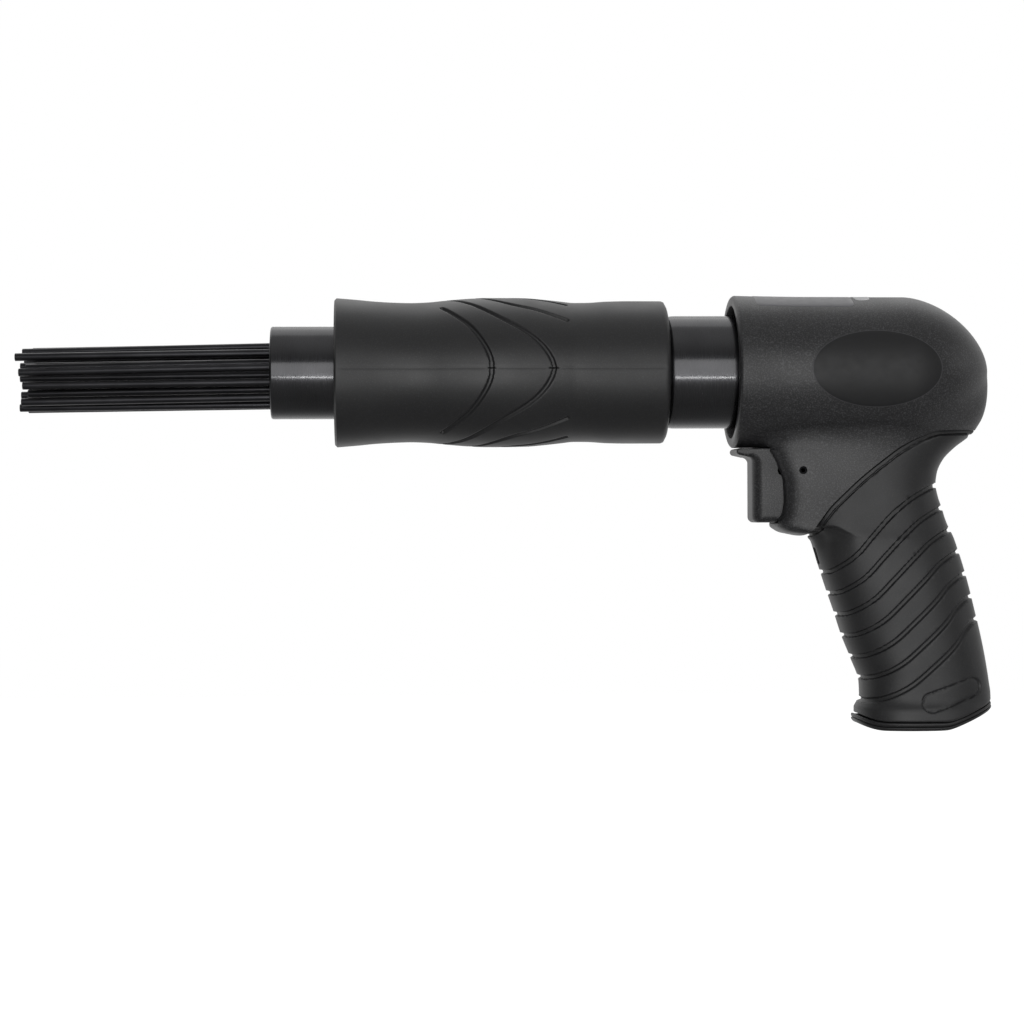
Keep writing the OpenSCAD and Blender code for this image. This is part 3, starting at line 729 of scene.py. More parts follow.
@dataclass(frozen=True)
class LabelFilm(Finish):
    """Printed film, smooth, with an edge line where it has one.

    Attributes:
        edge: Colour of the line near the film's edge.
        centre: Middle of an oval film in X and Z.
        halves: Half axes of the oval, where the film has an edge line.
        orange_peel: Spacing of the film's faint waviness.
        gloss: Level of the mirror part, where 0.5 is bare plastic.
    """

    edge: str = "#38383a"
    centre: Pair = (0.0, 0.0)
    halves: Pair | None = None
    orange_peel: float = 3.0
    gloss: float = 0.3

    def shader(self, tree: Tree, place: Socket) -> Node:
        """Builds the film's tone, its faint waviness and its edge line.

        Args:
            tree: The node tree.
            place: Object coordinates.

        Returns:
            The shader node.
        """
        scale = 1 / (self.orange_peel * MM)
        wave = add(tree, "TexNoise", {"Vector": place, "Scale": scale, "Detail": 2.0})
        colour = self.toned(tree, wave, by=0.08)
        if self.halves:
            size = (1 / (self.halves[0] * MM), 0.0, 1 / (self.halves[1] * MM))
            start = (-self.centre[0] / self.halves[0], 0.0, -self.centre[1] / self.halves[1])
            oval = add(tree, "Mapping", {"Vector": place, "Scale": size, "Location": start})
            out = add(tree, "VectorMath", {0: oval}, operation="LENGTH").outputs["Value"]
            line = add(tree, "MapRange", {0: out, 1: 0.98, 2: 0.988, 3: 0.0, 4: 1.0})
            tones = {0: line, 6: colour, 7: linear(self.edge)}
            colour = add(tree, "Mix", tones, data_type="RGBA").outputs[2]
        return self.surface(
            tree, dull=wave, spread=(0.04, 0.04), height=wave, relief=(0.3, 0.01),
            inputs={"Base Color": colour, "Specular IOR Level": self.gloss},
        )


# Glass filled nylon from a spark eroded mould: satin black with a fine grain and painted glints on its
# crests
COMPOSITE = MouldedPolymer(
    "glass_filled_nylon_spark_textured", "#161617", 0.46, glint="#3c3c3e", grain=0.5, crest=0.05,
    glint_share=0.4, gloss=0.45,
)
# Soft thermoplastic rubber moulded over the handle: matt, with a finer and fainter grain
GRIP_RUBBER = MouldedPolymer(
    "soft_rubber_moulded_matt", "#181819", 0.5, glint="#252526", grain=0.42, crest=0.02,
    glint_share=0.25, gloss=0.43,
)
# Rubber sleeve moulded in two halves: matt with a faint bloom
SLEEVE_RUBBER = MouldedPolymer(
    "nitrile_rubber_moulded_matt", "#161617", 0.47, glint="#252526", grain=0.42, crest=0.02,
    glint_share=0.25, gloss=0.43,
)
# Nylon of the trigger and of the cap: like the housing, but duller, and finer in grain on the cap
TRIGGER_NYLON = MouldedPolymer(
    "nylon_moulded_satin", "#161617", 0.45, glint="#3c3c3e", grain=0.5, crest=0.05, glint_share=0.4,
    gloss=0.38,
)
CAP_NYLON = MouldedPolymer(
    "nylon_moulded_cap", "#141415", 0.48, glint="#232324", grain=0.4, crest=0.02, glint_share=0.2,
    gloss=0.4,
)
# Nitrile seals: dull black with almost no grain
SEAL_RUBBER = MouldedPolymer(
    "nitrile_seal_moulded", "#161617", 0.45, glint="#242425", grain=0.3, crest=0.008, glint_share=0.1,
    gloss=0.28,
)
# Steel tube, ground, polished and black oxided under a film of oil: soft dark bands and one sharp line
BLACK_STEEL = TurnedMetal(
    "steel_polished_black_oxide", "#323234", 0.27, stained="#2d2d2f", coat=0.6, coat_roughness=0.13,
    rim=0.45,
)
# Steel pin, phosphated: dull and nearly black
PIN_STEEL = TurnedMetal("steel_pin_phosphated", "#161617", 0.6, stained="#101011")
# Drawn steel wire, black oxided: satin, with faint lines along the wire
NEEDLE_STEEL = TurnedMetal(
    "steel_wire_drawn_black_oxide", "#343436", 0.36, line=0.5, groove=0.004, stained="#2d2d2f",
    stretch=(0.03, 1.0, 1.0), stain=14.0,
)
# Ground steel, spring wire, brass and aluminium of the works inside: bright, with fine tool lines
BRIGHT_STEEL = TurnedMetal("steel_ground_bright", "#b9b9bb", 0.3, stained="#9a9a9c")
SPRING_STEEL = TurnedMetal("steel_spring_wire_drawn", "#8e8e92", 0.34, stained="#75757a")
BRASS = TurnedMetal("brass_turned", "#c9a75c", 0.28, stained="#a5843f")
ALUMINIUM = TurnedMetal("aluminium_turned", "#c6c7c9", 0.33, stained="#aeafb1")
# Polyester label film: smooth with a faint waviness, grey on the large label and pale on the small one
TOP_FILM = LabelFilm("polyester_label_film_grey", "#5a5a5d", 0.4)
PALE_FILM = LabelFilm("polyester_label_film_pale", "#c4c4c6", 0.45)


# Forms that several pieces share


@dataclass(frozen=True)
class Barrel:
    """The barrel's axis and the housing's round body.

    Attributes:
        axis: Height of the axis.
        radius: Radius of the body.
        mouth: Place of the body's mouth.
        dome_start: Place where the domed back begins.
        dome_length: Length of the domed back.
        fullness: Power of the dome's outline, where 2 is an ellipse.
        tail: How much that power rises straight below the axis.
        tail_power: How closely that rise keeps to straight below.
        pole: Share of the dome's length from which on distances are those at this place.
        flare: How far the body widens at its mouth.
        flare_length: Length over which it widens.
    """

    axis: float = 139.0
    radius: float = 29.2
    mouth: float = -68.3
    dome_start: float = -1.0
    dome_length: float = 33.7
    fullness: float = 1.7
    tail: float = 1.7
    tail_power: int = 6
    pole: float = 0.98
    flare: float = 0.6
    flare_length: float = 36.0

    def reach(self, x: Array, low: Array) -> Array:
        """Gives the body's radius.

        Args:
            x: Places along X.
            low: How far below the axis, from 0 level with it or above to 1 straight below.

        Returns:
            The radius at each place.
        """
        share = np.clip((x - self.dome_start) / self.dome_length, 0, 1)
        flared = np.clip(1 - (x - self.mouth) / self.flare_length, 0, 1)
        power = self.fullness + self.tail * np.clip(low, 0, 1) ** self.tail_power
        return self.radius * (1 - share**power) ** (1 / power) + self.flare * flared**2

    def outside(self, points: Array) -> Array:
        """Gives each point's distance outside the body, negative inside it.

        Args:
            points: The points.

        Returns:
            The distances.
        """
        along = np.clip(points[:, 0], None, self.dome_start + self.pole * self.dome_length)
        off = np.hypot(points[:, 1], points[:, 2] - self.axis)
        return off - self.reach(along, (self.axis - points[:, 2]) / np.maximum(off, NEAR))


@dataclass(frozen=True)
class Handle:
    """The handle's outline, from its base up to the barrel's axis.

    Attributes:
        grip: Height of the grip.
        neck: Height of the neck from there to the barrel's axis.
        depth: Horizontal depth, the measure for front and back.
        width: Width, the measure for the half width.
        back_squareness: Power of the section's back half.
        rows: Rise, where 1 is the grip's top and 2 the axis, then shares of front, back and half
            width, and the power of the section's front half.
        joint: Joint between housing and rubber, as shares of depth and as a rise.
        slant_start: Where the underside begins to slant.
        slant: Half the slope of the slant.
        slant_ease: How softly the slant begins.
        toe: Where the underside begins to round up to the front.
        toe_round: How fast it rounds up there.
    """

    grip: float = 74.0
    neck: float = 65.0
    depth: float = 54.0
    width: float = 39.0
    back_squareness: float = 2.3
    slant_start: float = 13.6
    slant: float = 0.205
    slant_ease: float = 5.0
    toe: float = -10.5
    toe_round: float = 0.027
    rows: tuple[tuple[float, ...], ...] = (
        (0, -0.374, 0.63, 1.02, 2.5),
        (0.057, -0.388, 0.63, 1.05, 2.5),
        (0.109, -0.368, 0.62, 1.03, 2.5),
        (0.141, -0.345, 0.614, 0.98, 2.5),
        (0.177, -0.328, 0.613, 0.96, 2.5),
        (0.24, -0.331, 0.602, 0.96, 2.5),
        (0.366, -0.39, 0.575, 0.975, 2.5),
        (0.492, -0.459, 0.541, 0.99, 2.5),
        (0.62, -0.515, 0.499, 1, 2.5),
        (0.747, -0.575, 0.457, 1, 2.5),
        (0.873, -0.63, 0.409, 0.98, 2.6),
        (0.947, -0.661, 0.376, 0.96, 2.7),
        (1, -0.69, 0.352, 0.94, 2.8),
        (1.031, -0.87, 0.335, 0.92, 4),
        (1.072, -0.96, 0.31, 0.9, 5),
        (1.125, -0.914, 0.285, 0.89, 6),
        (1.178, -0.889, 0.266, 0.885, 6),
        (1.252, -0.881, 0.236, 0.88, 6),
        (1.325, -0.892, 0.22, 0.875, 6),
        (1.395, -0.908, 0.231, 0.87, 6),
        (1.468, -0.934, 0.272, 0.87, 6),
        (1.54, -0.972, 0.355, 0.87, 6),
        (1.612, -1, 0.47, 0.87, 6),
        (1.648, -1.01, 0.513, 0.87, 6),
        (1.708, -1.018, 0.552, 0.87, 6),
        (1.766, -1.018, 0.574, 0.86, 6),
        (1.826, -1.018, 0.575, 0.84, 6),
        (1.918, -1.018, 0.54, 0.8, 6),
        (2, -1.018, 0.49, 0.74, 6),
    )
    joint: tuple[Pair, ...] = (
        (0.8, 1.649),
        (0.502, 1.647),
        (0.216, 1.641),
        (0.077, 1.609),
        (-0.082, 1.546),
        (-0.213, 1.469),
        (-0.363, 1.371),
        (-0.497, 1.269),
        (-0.595, 1.188),
        (-0.678, 1.097),
        (-0.73, 1.042),
        (-0.795, 1.018),
        (-1.3, 1.018),
    )

    def height(self, rise: float) -> float:
        """Turns a rise to a height."""
        return min(rise, 1) * self.grip + max(rise - 1, 0) * self.neck

    def section(self, z: Array) -> tuple[Array, ...]:
        """Gives front, back, half width and front squareness at heights.

        Args:
            z: The heights.

        Returns:
            Front, back, half width and squareness, each at every height.
        """
        zs = [self.height(row[0]) for row in self.rows]
        front, back, half, square = (steady(z, zs, [row[k] for row in self.rows]) for k in (1, 2, 3, 4))
        return front * self.depth, back * self.depth, half * self.width / 2, square

    def round(
        self,
        turn: Array,
        z: Array,
        inset: float | Array = 0.0,
        foremost: float | Array = -np.inf,
    ) -> Array:
        """Places points round the handle.

        Args:
            turn: Angle of each point as seen from above.
            z: Height of each point.
            inset: How far the form is drawn in.
            foremost: The front goes no further forward than this.

        Returns:
            The points.
        """
        front, back, half, square = self.section(z)
        front = np.maximum(front, foremost)
        long, wide = (back - front) / 2 - inset, half - inset
        c, s = np.cos(turn), np.sin(turn)
        power = np.where(c < 0, square, self.back_squareness)
        out = (np.abs(c / long) ** power + np.abs(s / wide) ** power) ** (-1 / power)
        return np.column_stack([(front + back) / 2 + out * c, out * s, z])

    def outside(self, points: Array) -> Array:
        """Gives about how far each point lies outside the handle, level with it.

        Args:
            points: The points.

        Returns:
            The distances.
        """
        front, back, _, _ = self.section(points[:, 2])
        away = np.column_stack([points[:, 0] - (front + back) / 2, points[:, 1]])
        rim = self.round(np.arctan2(away[:, 1], away[:, 0]), points[:, 2])
        rim = np.column_stack([rim[:, 0] - (front + back) / 2, rim[:, 1]])
        return np.linalg.norm(away, axis=1) - np.linalg.norm(rim, axis=1)

    def joint_line(self) -> Array:
        """Gives the joint's line in X and Z from front to back, eased between its points.

        Returns:
            The line's points, one to a row.
        """
        points = [(x * self.depth, self.height(rise)) for x, rise in reversed(self.joint)]
        xs = np.linspace(points[0][0], points[-1][0], 120)
        return np.column_stack([xs, steady(xs, *zip(*points))])

    def joint_height(self, x: Array) -> Array:
        """Gives the joint's height at places along X."""
        line = self.joint_line()
        return np.interp(x, line[:, 0], line[:, 1])

    def base_height(self, x: Array) -> Array:
        """Gives the underside's height at places along X, with its two bends eased.

        Args:
            x: The places.

        Returns:
            The heights.
        """
        past = x - self.slant_start
        slanted = self.slant * (past + np.sqrt(past**2 + self.slant_ease))
        return slanted + self.toe_round * np.maximum(0, self.toe - x) ** 2


BARREL = Barrel()
HANDLE = Handle()
# The box round the trigger's pocket stands further forward than the rubber below it
NECK = replace(
    HANDLE,
    rows=(
        (1.018, -0.815, 0.343, 0.93, 4),
        (1.028, -0.85, 0.337, 0.925, 4.2),
        (1.037, -0.895, 0.332, 0.92, 4.5),
        (1.054, -0.932, 0.32, 0.91, 5),
        (1.08, -0.966, 0.306, 0.9, 5.5),
        (1.12, -0.952, 0.287, 0.89, 6),
        (1.155, -0.931, 0.274, 0.887, 6),
        (1.228, -0.917, 0.246, 0.882, 6),
        (1.346, -0.924, 0.221, 0.874, 6),
        (1.435, -0.96, 0.25, 0.87, 6),
        (1.529, -0.99, 0.34, 0.87, 6),
        *HANDLE.rows[-8:],
    ),
)


# Sub-assemblies


@dataclass
class Part:
    """A sub-assembly that hands its pieces to the frame."""

    def place(
        self, obj: Obj, body: str, finish: Finish, slot: Slot, *nodes: str
    ) -> None:
        """Dresses a piece and gives it to the frame.

        Args:
            obj: The piece.
            body: The body that it rides on.
            finish: Its finish.
            slot: The record's material slot, not used.
            nodes: The CAD nodes that it stands for.
        """
        finish.dress(obj)
        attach(obj, body)
        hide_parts(*nodes)
        LOG.info("%s: %d faces, stands for %s", obj.name, len(obj.data.polygons), ", ".join(nodes))


@dataclass
class Needles(Part):
    """The bundle of needles, one modelled and the others copied.

    Attributes:
        count: Number of needles.
        radius: Radius of a needle.
        head_radius: Radius of its head.
        head_length: Length of its head.
        chamfer: Bevel at the tip.
    """

    count: int = 19
    radius: float = 1.5
    head_radius: float = 2.2
    head_length: float = 3.0
    chamfer: float = 0.25

    def ends(self, node: str) -> tuple[Vector, Vector]:
        """Gives the middles of a needle's tip and head, in metres.

        Args:
            node: The needle's CAD node.

        Returns:
            The middle of the tip and that of the head.
        """
        points = np.array([v.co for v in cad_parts[node].data.vertices])
        order = points[np.argsort(points[:, 0])]
        low = order[order[:, 0] < order[0, 0] + self.chamfer * MM]
        high = order[order[:, 0] > order[-1, 0] - self.chamfer * MM]
        return Vector(low.min(0) + low.max(0)) / 2, Vector(high.min(0) + high.max(0)) / 2

    def model(self, length: float) -> Obj:
        """Models one needle along X from the origin.

        Args:
            length: Length of the needle.

        Returns:
            The needle.
        """
        r, c, shaft = self.radius, self.chamfer, length - self.head_length
        profile = [(0, 0), (0, r - c)]
        profile += [(c - c * math.cos(a), r - c + c * math.sin(a)) for a in np.radians([30, 60, 90])]
        profile += [(shaft, r), (shaft, self.head_radius), (length, self.head_radius), (length, 0)]
        needle = lathe("needle_model", profile, axis_height=0.0, steps=20)
        shade(needle, angle=40)
        return needle

    def build(self) -> None:
        """Copies the needle onto every needle's axis."""
        tip, head = self.ends("needle_01")
        model = self.model((head - tip).length / MM)
        for i in range(1, self.count + 1):
            node = f"needle_{i:02d}"
            tip, head = self.ends(node)
            copy = linked(f"wire_{node}", model.data.copy())
            turn = Vector((1, 0, 0)).rotation_difference((head - tip).normalized())
            copy.data.transform(turn.to_matrix().to_4x4())
            copy.data.transform(Matrix.Translation(tip))
            self.place(copy, node, NEEDLE_STEEL, Slot.NEEDLE, node)
        bpy.data.objects.remove(model)


@dataclass
class Tubes(Part):
    """The polished nozzle tube and the barrel collar behind the sleeve.

    Attributes:
        bore: Inside radius of the tube.
        nozzle_radius: Radius of the bare nozzle.
        tube_radius: Radius of the tube under the sleeve.
        nozzle_front: Place of the nozzle's front.
        nozzle_back: Place where the sleeve begins.
        nozzle_round: Rounding of the nozzle's front edge.
        nozzle_bevel: Bevel of the nozzle's inner edge.
        tube_back: Place of the tube's back, inside the collar.
        collar_front: Place of the collar's front.
        collar_back: Place of the collar's back.
        collar_radius: Radius of the collar.
        collar_round: How far the collar's shoulder drops.
        shoulder: Length of that shoulder.
        cylinder_radius: Radius that the collar holds behind the tube.
    """

    bore: float = 15.65
    nozzle_radius: float = 17.9
    tube_radius: float = 17.3
    nozzle_front: float = -246.7
    nozzle_back: float = -222.1
    nozzle_round: float = 0.9
    nozzle_bevel: float = 0.4
    tube_back: float = -79.0
    collar_front: float = -94.0
    collar_back: float = -55.0
    collar_radius: float = 21.9
    collar_round: float = 1.25
    shoulder: float = 3.6
    cylinder_radius: float = 17.5

    def build(self) -> None:
        """Turns both tubes."""
        front, r = self.nozzle_front, self.nozzle_round
        outer = arc(front + r, self.nozzle_radius - r, r, 180, 90)
        inner = [(front + self.nozzle_bevel, self.bore), (front, self.bore + self.nozzle_bevel)]
        nozzle = lathe(
            "nozzle_tube_polished",
            [
                *inner, *outer,
                (self.nozzle_back, self.nozzle_radius), (self.nozzle_back, self.tube_radius),
                (self.tube_back, self.tube_radius), (self.tube_back, self.bore),
            ],
            BARREL.axis,
        )
        shade(nozzle, angle=35)
        self.place(nozzle, "body", BLACK_STEEL, Slot.BLACK_STEEL, "nozzle_tube")
        front, drop = self.collar_front, self.collar_round
        rounded = [
            (front + self.shoulder * (1 + c), self.collar_radius - drop * (1 - s))
            for c, s in arc(0, 0, 1, 180, 90, 8)
        ]
        collar = lathe(
            "barrel_collar_polished",
            [
                (front, self.tube_radius), *rounded,
                (self.collar_back, self.collar_radius), (self.collar_back, self.cylinder_radius),
                (self.tube_back, self.cylinder_radius), (self.tube_back, self.tube_radius),
            ],
            BARREL.axis,
        )
        shade(collar, angle=35)
        self.place(collar, "body", BLACK_STEEL, Slot.BLACK_STEEL, "barrel_collar")


@dataclass
class Sleeve(Part):
    """The rubber sleeve that the forward hand holds, with its chevron grooves.

    Attributes:
        front: Place of its front.
        back: Place of its back.
        bore: Radius of its bore.
        radius: Largest radius.
        waist: Depth of the waists.
        edge: Rounding of its front.
        back_edge: Rounding of its back.
        outline: Shares of the length and of the waists' depth.
        pattern: Turn in degrees by which the grooves and the parting line stand above the middle.
        grooves: Lines of turn in degrees from the middle of a side and place along X, each mirrored.
        groove_width: Width of a groove.
        groove_depth: Depth of a groove.
        wall: Width of a groove's sloping wall.
        parting_width: Width of the parting line.
        parting_depth: Depth of the parting line.
        parting_margin: Way to each side of that line that gets finer faces.
        parting_ends: Way from the sleeve's ends over which the parting line comes in.
        stretches: Rings along the sleeve, in two stages.
        packing: How much closer the rings stand at both ends.
        margin: Way beyond a groove's edge that gets finer faces.
        skin: Thickness round the bore that takes no relief.
    """

    front: float = -222.1
    back: float = -94.15
    bore: float = 17.3
    radius: float = 28.9
    waist: float = 1.95
    edge: float = 0.9
    back_edge: float = 1.9
    outline: tuple[Pair, ...] = (
        (0, 0.02), (0.06, 0.33), (0.12, 0.7), (0.18, 0.92), (0.23, 1), (0.28, 0.88), (0.34, 0.5),
        (0.4, 0.18), (0.46, 0), (0.52, 0), (0.58, 0.06), (0.64, 0.37), (0.69, 0.72), (0.73, 0.98),
        (0.77, 0.96), (0.83, 0.72), (0.9, 0.63), (1, 0.64),
    )
    pattern: float = 0.6
    grooves: tuple[tuple[Pair, ...], ...] = (
        ((0, -162.4), (7.2, -162.8), (16.2, -164.6), (26.7, -167.7), (36.4, -171.2), (47.3, -176.1),
         (59, -180.8)),
        ((0, -138.6), (7.3, -139.7), (15.9, -142.3), (24.3, -146.2), (32.8, -151.8), (41.7, -158.1),
         (53, -164.9), (66, -171.2), (80, -177.8), (92, -182.5)),
        ((43.2, -133.4), (52, -143), (61, -153.9), (74.5, -163), (91, -171)),
        ((68.5, -133.3), (75, -141), (79.8, -149), (84, -155), (91, -160.5)),
        ((90, -133.3), (90, -147)),
    )
    groove_width: float = 2.0
    groove_depth: float = 0.95
    wall: float = 0.5
    parting_width: float = 0.7
    parting_depth: float = 0.36
    parting_margin: float = 1.0
    parting_ends: Pair = (0.5, 4)
    stretches: tuple[int, int] = (12, 12)
    packing: float = 0.012
    margin: float = 1.3
    skin: float = 3.0

    def profile(self, x: Array) -> Array:
        """Gives the sleeve's radius at places along X.

        Args:
            x: The places.

        Returns:
            The radii.
        """
        shares = (x - self.front - self.edge / 2) / (self.back - self.front - 2 * self.edge)
        body = self.radius - self.waist * steady(shares, *zip(*self.outline))
        for way, size in ((x - self.front, self.edge), (self.back - x, self.back_edge)):
            drop = np.clip(1 - way / size, 0, 1)
            body = body - size * (1 - np.sqrt(1 - drop**2))
        return body

    def build(self) -> None:
        """Turns the sleeve, presses its grooves in and bores it."""
        length, stretches = self.back - self.front, math.prod(self.stretches)

        def place(turn: Array, rise: Array) -> Array:
            """Packs rings closer at both ends, with the bore's edges as the first and the last ring.

            Args:
                turn: Angle of each point round the form.
                rise: Rise of each point from 0 to 1.

            Returns:
                The places of the points.
            """
            t = np.clip((rise * stretches - 1) / (stretches - 2), 0, 1)
            x = self.front + length * (t - self.packing * np.sin(2 * np.pi * t))
            r = np.where(np.abs(rise - 0.5) > 0.5 - 0.5 / stretches, self.bore, self.profile(x))
            return np.column_stack([x, -r * np.cos(turn), BARREL.axis + r * np.sin(turn)])

        sleeve = tube("front_sleeve_moulded", around=192, rings=self.stretches, place=place)
        bore_through(sleeve)
        halves = [
            flowing([(self.radius * math.radians(t), x) for t, x in line]) for line in self.grooves
        ]
        lines = [half * (way, 1) for half in halves for way in (1, -1)]

        def unrolled() -> Array:
            """Lays the surface flat: way round from the nearer side's middle, and place along X.

            Returns:
                The flat points.
            """
            p = points_of(sleeve)
            turn = np.degrees(np.arctan2(p[:, 2] - BARREL.axis, -p[:, 1])) - self.pattern
            turn = (turn + 90) % 180 - 90
            return np.column_stack([self.radius * np.radians(turn), p[:, 0]])

        def nearest() -> Array:
            """Gives each point's distance from the nearest groove."""
            flat = unrolled()
            return np.min([off_line(flat, line) for line in lines], axis=0)

        half = self.groove_width / 2
        refine(sleeve, nearest() < half + self.margin, 2)
        refine(sleeve, np.abs(unrolled()[:, 0]) < self.parting_margin, 1)
        depth = self.groove_depth * (1 - ramp(nearest(), half - self.wall, half))
        p = points_of(sleeve)
        inner = ramp(np.minimum(p[:, 0] - self.front, self.back - p[:, 0]), *self.parting_ends)
        seam = 1 - ramp(np.abs(unrolled()[:, 0]), 0, self.parting_width / 2)
        rim = np.hypot(p[:, 1], p[:, 2] - BARREL.axis) > self.bore + self.skin
        sink(sleeve, rim * (depth + self.parting_depth * seam * inner))
        shade(sleeve, angle=50)
        self.place(sleeve, "body", SLEEVE_RUBBER, Slot.SLEEVE, "front_sleeve")


@dataclass
class Housing(Part):
    """The composite housing with its core down the handle.

    Attributes:
        voxel: Size of the remesh that blends body and neck.
        fillet: Reach of the fillet between body and neck.
        mouth_bore: Radius of the mouth.
        mouth_floor: Place of the mouth's floor.
        bush_radius: Radius of the bush's seat.
        bush_back: Place of the bush's back.
        bore_radius: Radius of the cylinder's bore.
        bore_back: Place of the bore's end.
        rim_round: Rounding of the mouth's outer edge.
        rim_inner: Rounding of the mouth's inner edge.
        overrun: How far the body is first made beyond its mouth.
        clear: How far a cutting solid stands out from what it cuts.
        core_inset: Thickness of the rubber over the core.
        core_top: Height of the core's top, inside the neck.
        core_front: Foremost place of the core's top, and of the core below it.
        cap_top: Height of the base cap under the core.
        pocket_front: Place in front of the trigger's pocket.
        pocket_floor: Place of the pocket's floor.
        pocket_low: Height of the pocket's lower side.
        pocket_high: Height of the pocket's upper side.
        pocket_width: Width of the pocket.
        pin: Place of the trigger's pin in X and Z.
        pin_radius: Radius of the pin's hole.
        inlet_depth: Depth of the inlet's hole.
        box_round: Rounding of the lower edge of the box round the pocket.
        neck_rings: Power by which the neck's rings stand closer at its foot.
        exhausts: Number of exhaust channels in the mouth's floor.
        exhaust_radius: Radius of a channel.
        exhaust_ring: Radius of the ring on which they stand.
        exhaust_depth: Length of the solid that cuts a channel, half of it in the floor.
        crease_near: Distance from body and neck, in fillets, within which points are moved.
        crease_low: Lowest height of the crease.
        crease_fade: Places between which the fillet fades out toward the back.
        crease_sharp: How far the two surfaces turn from each other where the fillet is full.
    """

    voxel: float = 0.62
    fillet: float = 9.0
    mouth_bore: float = 25.8
    mouth_floor: float = -55.0
    bush_radius: float = 22.5
    bush_back: float = -32.0
    bore_radius: float = 17.5
    bore_back: float = 9.0
    rim_round: float = 1.7
    rim_inner: float = 0.35
    overrun: float = 4.0
    clear: float = 3.0
    core_inset: float = RUBBER
    core_top: float = 112.0
    core_front: Pair = (-33.0, -37.0)
    cap_top: float = 3.4
    pocket_front: float = -90.0
    pocket_floor: float = -38.9
    pocket_low: float = 80.05
    pocket_high: float = 109.55
    pocket_width: float = 21.7
    pin: Pair = PIN
    pin_radius: float = 1.55
    inlet_depth: float = 20.0
    box_round: float = 2.2
    neck_rings: float = 1.5
    exhausts: int = 12
    exhaust_radius: float = 1.0
    exhaust_ring: float = 24.15
    exhaust_depth: float = 16.0
    crease_near: float = 1.6
    crease_low: float = 84.0
    crease_fade: Pair = (18.0, 28.0)
    crease_sharp: float = 0.7

    def shell(self) -> Obj:
        """Joins body and neck, remeshes them and rounds the crease between them.

        Returns:
            The shell, still solid.
        """

        def body_place(turn: Array, rise: Array) -> Array:
            """Turns the body about the barrel's axis, with its rings closer toward the dome's end.

            Args:
                turn: Angle of each point round the form.
                rise: Rise of each point from 0 to 1.

            Returns:
                The places of the points.
            """
            start = BARREL.mouth - self.overrun
            length = BARREL.dome_start + BARREL.dome_length - start
            x = start + length * np.sin(rise * np.pi / 2)
            # The last ring stays open a little, so that it keeps a plain end
            r = np.maximum(BARREL.reach(x, -np.sin(turn)), 0.2)
            return np.column_stack([x, r * np.cos(turn), BARREL.axis + r * np.sin(turn)])

        def neck_place(turn: Array, rise: Array) -> Array:
            """Lofts the neck up to the axis, with its lower edge rounded.

            Args:
                turn: Angle of each point round the form.
                rise: Rise of each point from 0 to 1.

            Returns:
                The places of the points.
            """
            foot = NECK.height(NECK.rows[0][0])
            z = foot + (BARREL.axis - foot) * rise**self.neck_rings
            drop = np.clip(1 - (z - foot) / self.box_round, 0, 1)
            return NECK.round(turn, z, self.box_round * (1 - np.sqrt(1 - drop**2)))

        body = tube("housing_moulded", around=160, rings=(10, 12), place=body_place)
        neck = tube("neck", around=160, rings=(10, 10), place=neck_place)
        act(body, neck, Way.JOIN)
        # The second pass clears the folds that the first one leaves in the crease
        for _ in range(2):
            apply_modifier(body, "REMESH", mode="VOXEL", voxel_size=self.voxel * MM)
            self.round_crease(body)
        return body

    def blended(self, points: Array, reach: Array) -> Array:
        """Gives about how far points lie outside body and neck with a fillet of this reach.

        Args:
            points: The points.
            reach: Reach of the fillet at each point.

        Returns:
            The distances.
        """
        a, b = BARREL.outside(points), NECK.outside(points)
        share = np.clip(reach - np.abs(a - b), 0, None) / reach
        return np.minimum(a, b) - share**2 * reach / 4

    def slopes(self, away: Callable[[Array], Array], points: Array) -> Array:
        """Gives the slope of a distance at points, one to a row."""
        here, step = away(points), 0.05
        return np.column_stack([(away(points + side) - here) / step for side in step * np.eye(3)])

    def round_crease(self, obj: Obj) -> None:
        """Moves points near the crease out onto the fillet, which is wide where the crease is sharp.

        Args:
            obj: The shell.
        """
        points = points_of(obj)
        x, z = points[:, 0], points[:, 2]
        near = BARREL.outside(points) + NECK.outside(points) < self.crease_near * self.fillet
        near &= (z > self.crease_low) & (z < BARREL.axis)
        near &= (x > BARREL.mouth - self.overrun / 2) & (x < self.crease_fade[1])
        moved = points[near]
        ways = [self.slopes(form.outside, moved) for form in (BARREL, NECK)]
        body, neck = (way / np.linalg.norm(way, axis=1)[:, None] for way in ways)
        sharp = ramp(1 - (body * neck).sum(1), 0, self.crease_sharp)
        reach = self.fillet * sharp * (1 - ramp(moved[:, 0], *self.crease_fade)) + NEAR
        # A few steps along the slope bring a point onto the fillet, kept short where it is flat
        for _ in range(5):
            here = self.blended(moved, reach)
            lean = self.slopes(lambda at: self.blended(at, reach), moved)
            size = np.maximum((lean**2).sum(1), 0.3)
            moved = moved - lean * (np.clip(here, -1, 1) / size)[:, None]
        points[near] = moved
        set_points(obj, points)

